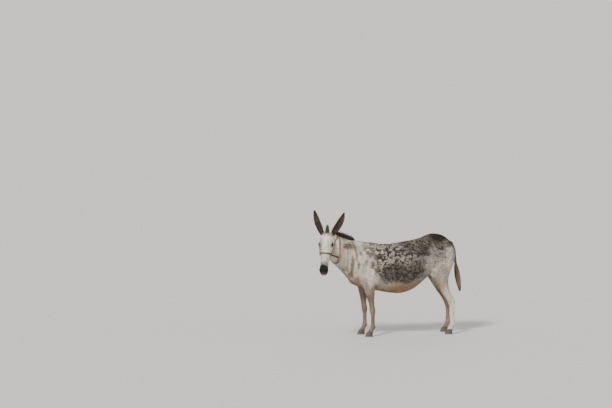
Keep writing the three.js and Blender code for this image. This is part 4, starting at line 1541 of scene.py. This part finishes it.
def makeEarHair():
    plan = fineHairPlan["ear_hair"]
    rng = np.random.default_rng(91)
    inHead = headCoords(triangleMiddles)
    inner = unit(triangleFaces) @ facing
    chosen = ((triangleShares["ears"] > 0.6) & (inner > 0.35)
              & (inHead[:, 0] > -235) & (inHead[:, 0] < -15))
    between = scatter(chosen, plan["count"], rng)
    roots, normals = between(skinPlaces), unit(between(skinNormals))
    ways = unit(-noseWay + normals * 0.45 + rng.normal(0, 0.16, roots.shape))
    fineHairs("ear_hair", roots, ways, normals * -0.2, rng.uniform(*plan["length"], len(roots)),
              earHairMaterial, 92)


earHairMaterial = makeHairMaterial("paleEarHair", (0.05, 0.033, 0.022), (0.17, 0.12, 0.085))
makeMane()
makeForelock()
makeTail()
makeLashes()
makeWhiskers()
makeEarHair()
print("mane, forelock, tail and fine hair grown")

# Hooves

hoofPlan = {
    "voxel": 0.0024,
    "rounds": 14,             # of smoothing
    "ringStep": 0.0075,       # from one growth ring to the next
    "ringDepth": 0.00028,
    "ringSlope": 0.28,        # how steeply the rings drop toward the heel
    "notch": 0.007,           # how deep the notch between the heels is
    "sole": 0.0022,           # what lies lower than this is set flat on the ground
    "creaseAngle": 38,
}


def makeHornMaterial():
    material, tree, shader = newMaterial("hoofHorn", Roughness=0.52, Specular_IOR_Level=0.4)
    place = objectPlace(tree)
    fibres = drawnNoise(tree, place, (420, 420, 26), 3.0)
    rings = drawnNoise(tree, place, (9, 9, 210), 2.0)
    grain = mapRange(tree, fibres, 0.3, 0.7)
    colour = mixColour(tree, grain, (0.030, 0.025, 0.021), (0.090, 0.075, 0.060))
    colour = mixColour(tree, mapRange(tree, rings, 0.42, 0.70, 0.0, 0.3), colour, (0.15, 0.125, 0.10))
    dust = mapRange(tree, axesOf(tree, place)[2], 0.002, 0.020, 0.55, 0.0)
    colour = mixColour(tree, dust, colour, (0.24, 0.19, 0.135))
    tree.links.new(colour, shader.inputs["Base Color"])
    addBump(tree, shader, fibres, 0.25, 0.001)
    return material


def makeHoof(node, material):
    plan = hoofPlan
    hoof = copyOfNodes(node + "_horn", [node])
    low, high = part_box(node)
    applyModifier(hoof, "REMESH", mode="VOXEL", voxel_size=plan["voxel"])
    smoothSkin(hoof, plan["rounds"], np.ones(len(hoof.data.vertices)))
    places = placesOf(hoof)
    middle = np.array((low + high) / 2)
    spoke = places - middle
    spoke[:, 2] = 0
    x, _, z = places.T
    wall = ramp(z, 0.004, 0.010) * (1 - ramp(z, high[2] - 0.010, high[2] - 0.003))
    ring = (z + plan["ringSlope"] * (x - middle[0])) / plan["ringStep"]
    ridge = np.sin(ring * 2 * np.pi) + 0.5 * np.sin(ring * 3.7 + 1)
    places += unit(spoke) * (ridge * plan["ringDepth"] * wall)[:, None]
    # the notch behind, between the heels, and the flat sole
    behind = ramp(places[:, 0], high[0] - 0.016, high[0] - 0.002)
    places[:, 0] -= plan["notch"] * hump((places[:, 1] - middle[1]) * 1000, 5) * behind
    places[:, 2] = np.where(places[:, 2] < plan["sole"], low[2], places[:, 2])
    movePlaces(hoof, places)
    pick(hoof)
    bpy.ops.object.shade_smooth_by_angle(angle=math.radians(plan["creaseAngle"]))
    hoof.data.materials.append(material)
    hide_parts(node)
    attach(hoof, "root")


hornMaterial = makeHornMaterial()
for node in ("fore_hoof_left", "fore_hoof_right", "hind_hoof_left", "hind_hoof_right"):
    makeHoof(node, hornMaterial)
print("hooves shaped")

# Halter


def makeLeatherMaterial(name, dark, light):
    material, tree, shader = newMaterial(name, Roughness=0.58, Specular_IOR_Level=0.4)
    along, across, _ = axesOf(tree, attributeOf(tree, "band", "Vector"))
    across = mathOf(tree, "ABSOLUTE", across)
    place = objectPlace(tree)
    grain = noiseOn(tree, place, 900, 3.0)
    wear = mapRange(tree, noiseOn(tree, place, 46, 3.0), 0.40, 0.66)
    colour = mixColour(tree, wear, dark, light)
    edge = mapRange(tree, across, 0.84, 0.97)
    colour = mixColour(tree, product(tree, edge, 0.8), colour, (0.050, 0.025, 0.013))
    # pale stitches in a groove along both edges
    onLine = bandOf(tree, across, halterPlan["stitchLine"], 0.03, 0.08)
    beat = mathOf(tree, "FRACT", mathOf(tree, "DIVIDE", along, halterPlan["stitchStep"]))
    stitch = product(tree, onLine, bandOf(tree, beat, 0.5, 0.28, 0.34))
    colour = mixColour(tree, stitch, colour, (0.46, 0.36, 0.22))
    tree.links.new(colour, shader.inputs["Base Color"])
    height = mathOf(tree, "ADD", product(tree, grain, 0.35), product(tree, stitch, 0.9))
    groove = product(tree, mathOf(tree, "SUBTRACT", onLine, stitch), -0.6)
    addBump(tree, shader, mathOf(tree, "ADD", height, groove), 0.5, 0.0008)
    return material


def makeSteelMaterial():
    material, tree, shader = newMaterial("ringSteel", Metallic=1.0)
    rust = mapRange(tree, noiseOn(tree, objectPlace(tree), 130, 4.0), 0.50, 0.64)
    colour = mixColour(tree, rust, (0.20, 0.19, 0.175), (0.085, 0.048, 0.028))
    tree.links.new(colour, shader.inputs["Base Color"])
    tree.links.new(mapRange(tree, rust, 0, 1, 0.34, 0.7), shader.inputs["Roughness"])
    return material


tanLeather = makeLeatherMaterial("tanLeather", (0.19, 0.088, 0.036), (0.36, 0.19, 0.09))
darkLeather = makeLeatherMaterial("darkLeather", (0.040, 0.021, 0.012), (0.105, 0.055, 0.030))
steel = makeSteelMaterial()


# The least or the mean of every row with its neighbours on both sides
def slid(values, width, how):
    padded = np.concatenate([np.repeat(values[:1], width, 0), values, np.repeat(values[-1:], width, 0)])
    return how([padded[k:k + len(values)] for k in range(2 * width + 1)], axis=0)


# A strap laid on the skin from outside: where each row starts, which way it goes in, and its breadth
def layStrap(name, tree, starts, ways, across, width, rise, nodes, lifts=(0.0, 0.0), thickness=None,
             leather=None):
    rows, columns = len(starts), halterPlan["columns"]
    spread = np.linspace(-1, 1, columns)
    depth = np.zeros((rows, columns))
    for i in range(rows):
        for j in range(columns):
            start = starts[i] + across[i] * spread[j] * width / 2
            hit = tree.ray_cast(Vector(start), Vector(ways[i]))
            depth[i, j] = hit[3] if hit[0] is not None else np.nan
    # where a row meets nothing, the usual depth, then as a strap pulled taut over the hollows
    depth = np.where(np.isnan(depth), np.nanmedian(depth), depth)
    taut = slid(slid(slid(depth, 4, np.min), 5, np.mean), 4, np.mean)
    depth = slid(np.minimum(taut, depth), 1, np.mean) - rise
    depth -= lifts[0] * (1 - ramp(np.arange(rows), 0, 5))[:, None]
    depth -= lifts[1] * ramp(np.arange(rows), rows - 6, rows - 1)[:, None]
    strap = addItem(bpy.ops.mesh.primitive_grid_add,
                    x_subdivisions=rows - 1, y_subdivisions=columns - 1, size=2)
    strap.name = name
    flat = placesOf(strap)
    i = np.rint((flat[:, 0] + 1) / 2 * (rows - 1)).astype(int)
    j = np.rint((flat[:, 1] + 1) / 2 * (columns - 1)).astype(int)
    aside, inward = (spread[j] * width / 2)[:, None], depth[i, j][:, None]
    movePlaces(strap, starts[i] + across[i] * aside + ways[i] * inward)
    middle = starts + ways * depth[:, columns // 2][:, None]
    along = np.concatenate([[0], np.cumsum(np.linalg.norm(np.diff(middle, axis=0), axis=1))])
    addVectors(strap.data, "band", np.stack([along[i], spread[j], 0 * along[i]], 1))
    if np.sum(normalsOf(strap) * ways[i]) > 0:
        editAll(bpy.ops.mesh.flip_normals)
    applyModifier(strap, "SOLIDIFY", thickness=thickness or halterPlan["thickness"], offset=1.0)
    applyModifier(strap, "BEVEL", width=halterPlan["edge"], segments=2, limit_method="ANGLE",
                  angle_limit=math.radians(50))
    bpy.ops.object.shade_smooth_by_angle(angle=math.radians(42))
    strap.data.materials.append(leather or tanLeather)
    if nodes:
        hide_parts(*nodes)
    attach(strap, "root")
    return middle


# A strap round a middle, square to a normal, from one turn to another in degrees from the first way
def loopStrap(name, tree, middle, normal, first, fromTurn, toTurn, nodes, **settings):
    normal = unit(normal)
    first = unit(first - normal * (first @ normal))
    second = np.cross(normal, first)
    second = second * np.sign(second @ leftWay)
    rows = max(8, int(abs(toTurn - fromTurn) / halterPlan["rowTurn"]))
    turns = np.radians(np.linspace(fromTurn, toTurn, rows))
    out = np.cos(turns)[:, None] * first + np.sin(turns)[:, None] * second
    across = np.tile(normal, (len(turns), 1))
    width = settings.pop("width", halterPlan["width"])
    rise = settings.pop("rise", halterPlan["rise"])
    return layStrap(name, tree, middle + out * 0.4, -out, across, width, rise, nodes, **settings)


def ringMiddle(side):
    down, out, across = halterPlan["ringPlace"]
    return onHead(down, out, side * across)


# Where a ring lies on the cheek, and the way that it faces
def ringFrame(side):
    place = ringMiddle(side)
    outward = unit(leftWay * side + noseWay * 0.2)
    hit = headTree.ray_cast(Vector(place + outward * 0.2), Vector(-outward))
    surface = np.array(hit[0]) if hit[0] is not None else place
    return surface + outward * (halterPlan["ringWire"] + 0.002), outward


def placeMetal(item, name, place, axis, upward, nodes):
    first = unit(upward - axis * (upward @ axis))
    second = np.cross(axis, first)
    turned = Matrix((first, second, axis)).transposed().to_4x4()
    item.name = name
    item.data.transform(Matrix.Translation(Vector(place)) @ turned)
    pick(item)
    bpy.ops.object.shade_smooth()
    item.data.materials.append(steel)
    if nodes:
        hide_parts(*nodes)
    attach(item, "root")


def makeRing(name, node, side):
    place, outward = ringFrame(side)
    ring = addItem(bpy.ops.mesh.primitive_torus_add, major_segments=56, minor_segments=18,
                   major_radius=halterPlan["ringRadius"], minor_radius=halterPlan["ringWire"])
    placeMetal(ring, name, place, outward, noseWay, [node])


def makeCheekStrap(name, node, side):
    middle, normal = np.array(halterPlan["stallPlace"]), unit(halterPlan["stallNormal"])
    neckLeft = np.array((0.5, -0.86, 0))
    upper = middle + np.array(halterPlan["cheekTop"]) + neckLeft * halterPlan["cheekAside"] * side
    lower = ringMiddle(side)
    lower = lower - unit(lower - upper) * halterPlan["ringRadius"]
    share = np.linspace(0, 1, halterPlan["cheekRows"])[:, None]
    path = upper + (lower - upper) * share - normal * 0.022 * (1 - ramp(share, 0, 0.24))
    outward = unit(blend(unit(neckLeft) * side, leftWay * side, ramp(share, 0.1, 0.6)))
    across = unit(np.cross(np.gradient(path, axis=0), outward))
    path = layStrap(name, headAndNeckTree, path + outward * 0.25, -outward, across,
                    halterPlan["cheekWidth"], halterPlan["rise"] * 0.6, [node],
                    lifts=(0, halterPlan["endLift"]))
    return path, outward


# A square frame with a tongue across it, halfway down a cheek strap
def makeBuckle(path, outward):
    row = halterPlan["buckleRow"]
    axis, way = outward[row], unit(path[row + 1] - path[row - 1])
    place = path[row] + axis * (halterPlan["thickness"] + 0.0010)
    buckle = addItem(bpy.ops.mesh.primitive_torus_add, major_segments=4, minor_segments=12,
                     major_radius=halterPlan["buckleRadius"], minor_radius=halterPlan["buckleWire"])
    buckle.data.transform(Matrix.Rotation(math.radians(45), 4, "Z"))
    tongue = addItem(bpy.ops.mesh.primitive_cylinder_add, vertices=16,
                     radius=halterPlan["tongueRadius"], depth=halterPlan["tongueLength"],
                     rotation=(0, math.radians(90), 0), location=(0, 0, 0.0012))
    applyPlace()
    placeMetal(joinPieces([buckle, tongue]), "halter_buckle", place, axis, way, [])


def makeHalter():
    lift, split = halterPlan["endLift"], halterPlan["stallSplit"]
    noseLoop = (headTree, onHead(*halterPlan["nosePlace"]), noseNormal, browWay)
    onNose = {"lifts": (lift, lift), "leather": darkLeather}
    loopStrap("noseband", *noseLoop, *halterPlan["noseTurns"], ["halter_noseband"], **onNose)
    loopStrap("chin_strap", *noseLoop, *halterPlan["chinTurns"], ["halter_chin_strap"], **onNose)
    stall = (headAndNeckTree, np.array(halterPlan["stallPlace"]), halterPlan["stallNormal"], up)
    loopStrap("crown_strap", *stall, -split, split, ["halter_crown"])
    loopStrap("throat_strap", *stall, split + 0.6, 359.4 - split, ["halter_throat_strap"])
    overStrap = halterPlan["rise"] + halterPlan["thickness"] * 0.9
    for word, side in halves.items():
        loopStrap("keeper_" + word, *stall, side * (split - 4), side * (split + 4), [],
                  width=halterPlan["keeperWidth"], rise=overStrap,
                  thickness=halterPlan["keeperThickness"])
        path, outward = makeCheekStrap("cheek_strap_" + word, "halter_cheek_" + word, side)
        makeRing("halter_ring_" + word + "_steel", "halter_ring_" + word, side)
        if word == "left":
            makeBuckle(path, outward)


makeHalter()
print("halter laid on")

# Setting

view = {
    "turn": -14.0,            # degrees round from square to its left side
    "rise": 6.3,
    "distance": 70.0,
    "metresPerPixel": 0.0121,
    "imageWidth": 612,
    "imageHeight": 408,
    "groundPixel": (387.0, 334.8),   # where the floor under the body's own middle falls
    "groundPlace": (-0.0014, 0.0673, 0.0),
    "sensor": 36.0,
    "farthest": 1500,
}
studio = {
    "floorSize": 900,
    "floorColour": (0.478, 0.474, 0.466),
    "sky": (0.925, 0.925, 0.915),
    "skyStrength": 0.95,
    "lampDistance": 6,
    # each lamp: the way it shines from, strength, softness in degrees and colour
    "lamps": {
        "keyLamp": ((-0.55, -0.62, 0.80), 4.1, 12, (1.0, 0.955, 0.88)),
        "fillLamp": ((0.9, -0.5, 0.5), 0.50, 50, (0.88, 0.94, 1.0)),
        "backLamp": ((0.3, 0.9, 0.6), 0.65, 40, (1.0, 0.98, 0.95)),
    },
}


def makeCamera():
    turn, rise = math.radians(view["turn"]), math.radians(view["rise"])
    right = Vector((math.cos(turn), math.sin(turn), 0))
    toward = Vector((math.sin(turn) * math.cos(rise), -math.cos(turn) * math.cos(rise), math.sin(rise)))
    upward = toward.cross(right)
    across = (view["imageWidth"] / 2 - view["groundPixel"][0]) * view["metresPerPixel"]
    lift = (view["groundPixel"][1] - view["imageHeight"] / 2) * view["metresPerPixel"]
    target = Vector(view["groundPlace"]) + right * across + upward * lift
    camera = addItem(bpy.ops.object.camera_add, location=target + toward * view["distance"])
    camera.rotation_euler = Matrix((right, upward, toward)).transposed().to_euler()
    width = view["imageWidth"] * view["metresPerPixel"]
    camera.data.sensor_width = view["sensor"]
    camera.data.lens = view["sensor"] * view["distance"] / width
    camera.data.clip_end = view["farthest"]
    bpy.context.scene.camera = camera


def makeLamp(name, place, power, softness, colour):
    lamp = addItem(bpy.ops.object.light_add, type="SUN", location=Vector(place) * studio["lampDistance"])
    lamp.name = name
    lamp.data.energy = power
    lamp.data.angle = math.radians(softness)
    lamp.data.color = colour
    lamp.rotation_euler = (-Vector(place)).to_track_quat("-Z", "Y").to_euler()


def makeFloor():
    floor = addItem(bpy.ops.mesh.primitive_plane_add, size=studio["floorSize"], location=(0, 0, 0))
    floor.name = "floor"
    material, _, shader = newMaterial("paleFloor", Roughness=0.9, Specular_IOR_Level=0.1)
    shader.inputs["Base Color"].default_value = (*studio["floorColour"], 1)
    floor.data.materials.append(material)


def makeSky():
    world = bpy.data.worlds.new("studio")
    bpy.context.scene.world = world
    world.use_nodes = True
    background = world.node_tree.nodes["Background"]
    background.inputs[0].default_value = (*studio["sky"], 1)
    background.inputs[1].default_value = studio["skyStrength"]


makeCamera()
for name, lamp in studio["lamps"].items():
    makeLamp(name, *lamp)
makeFloor()
makeSky()
print("studio set")
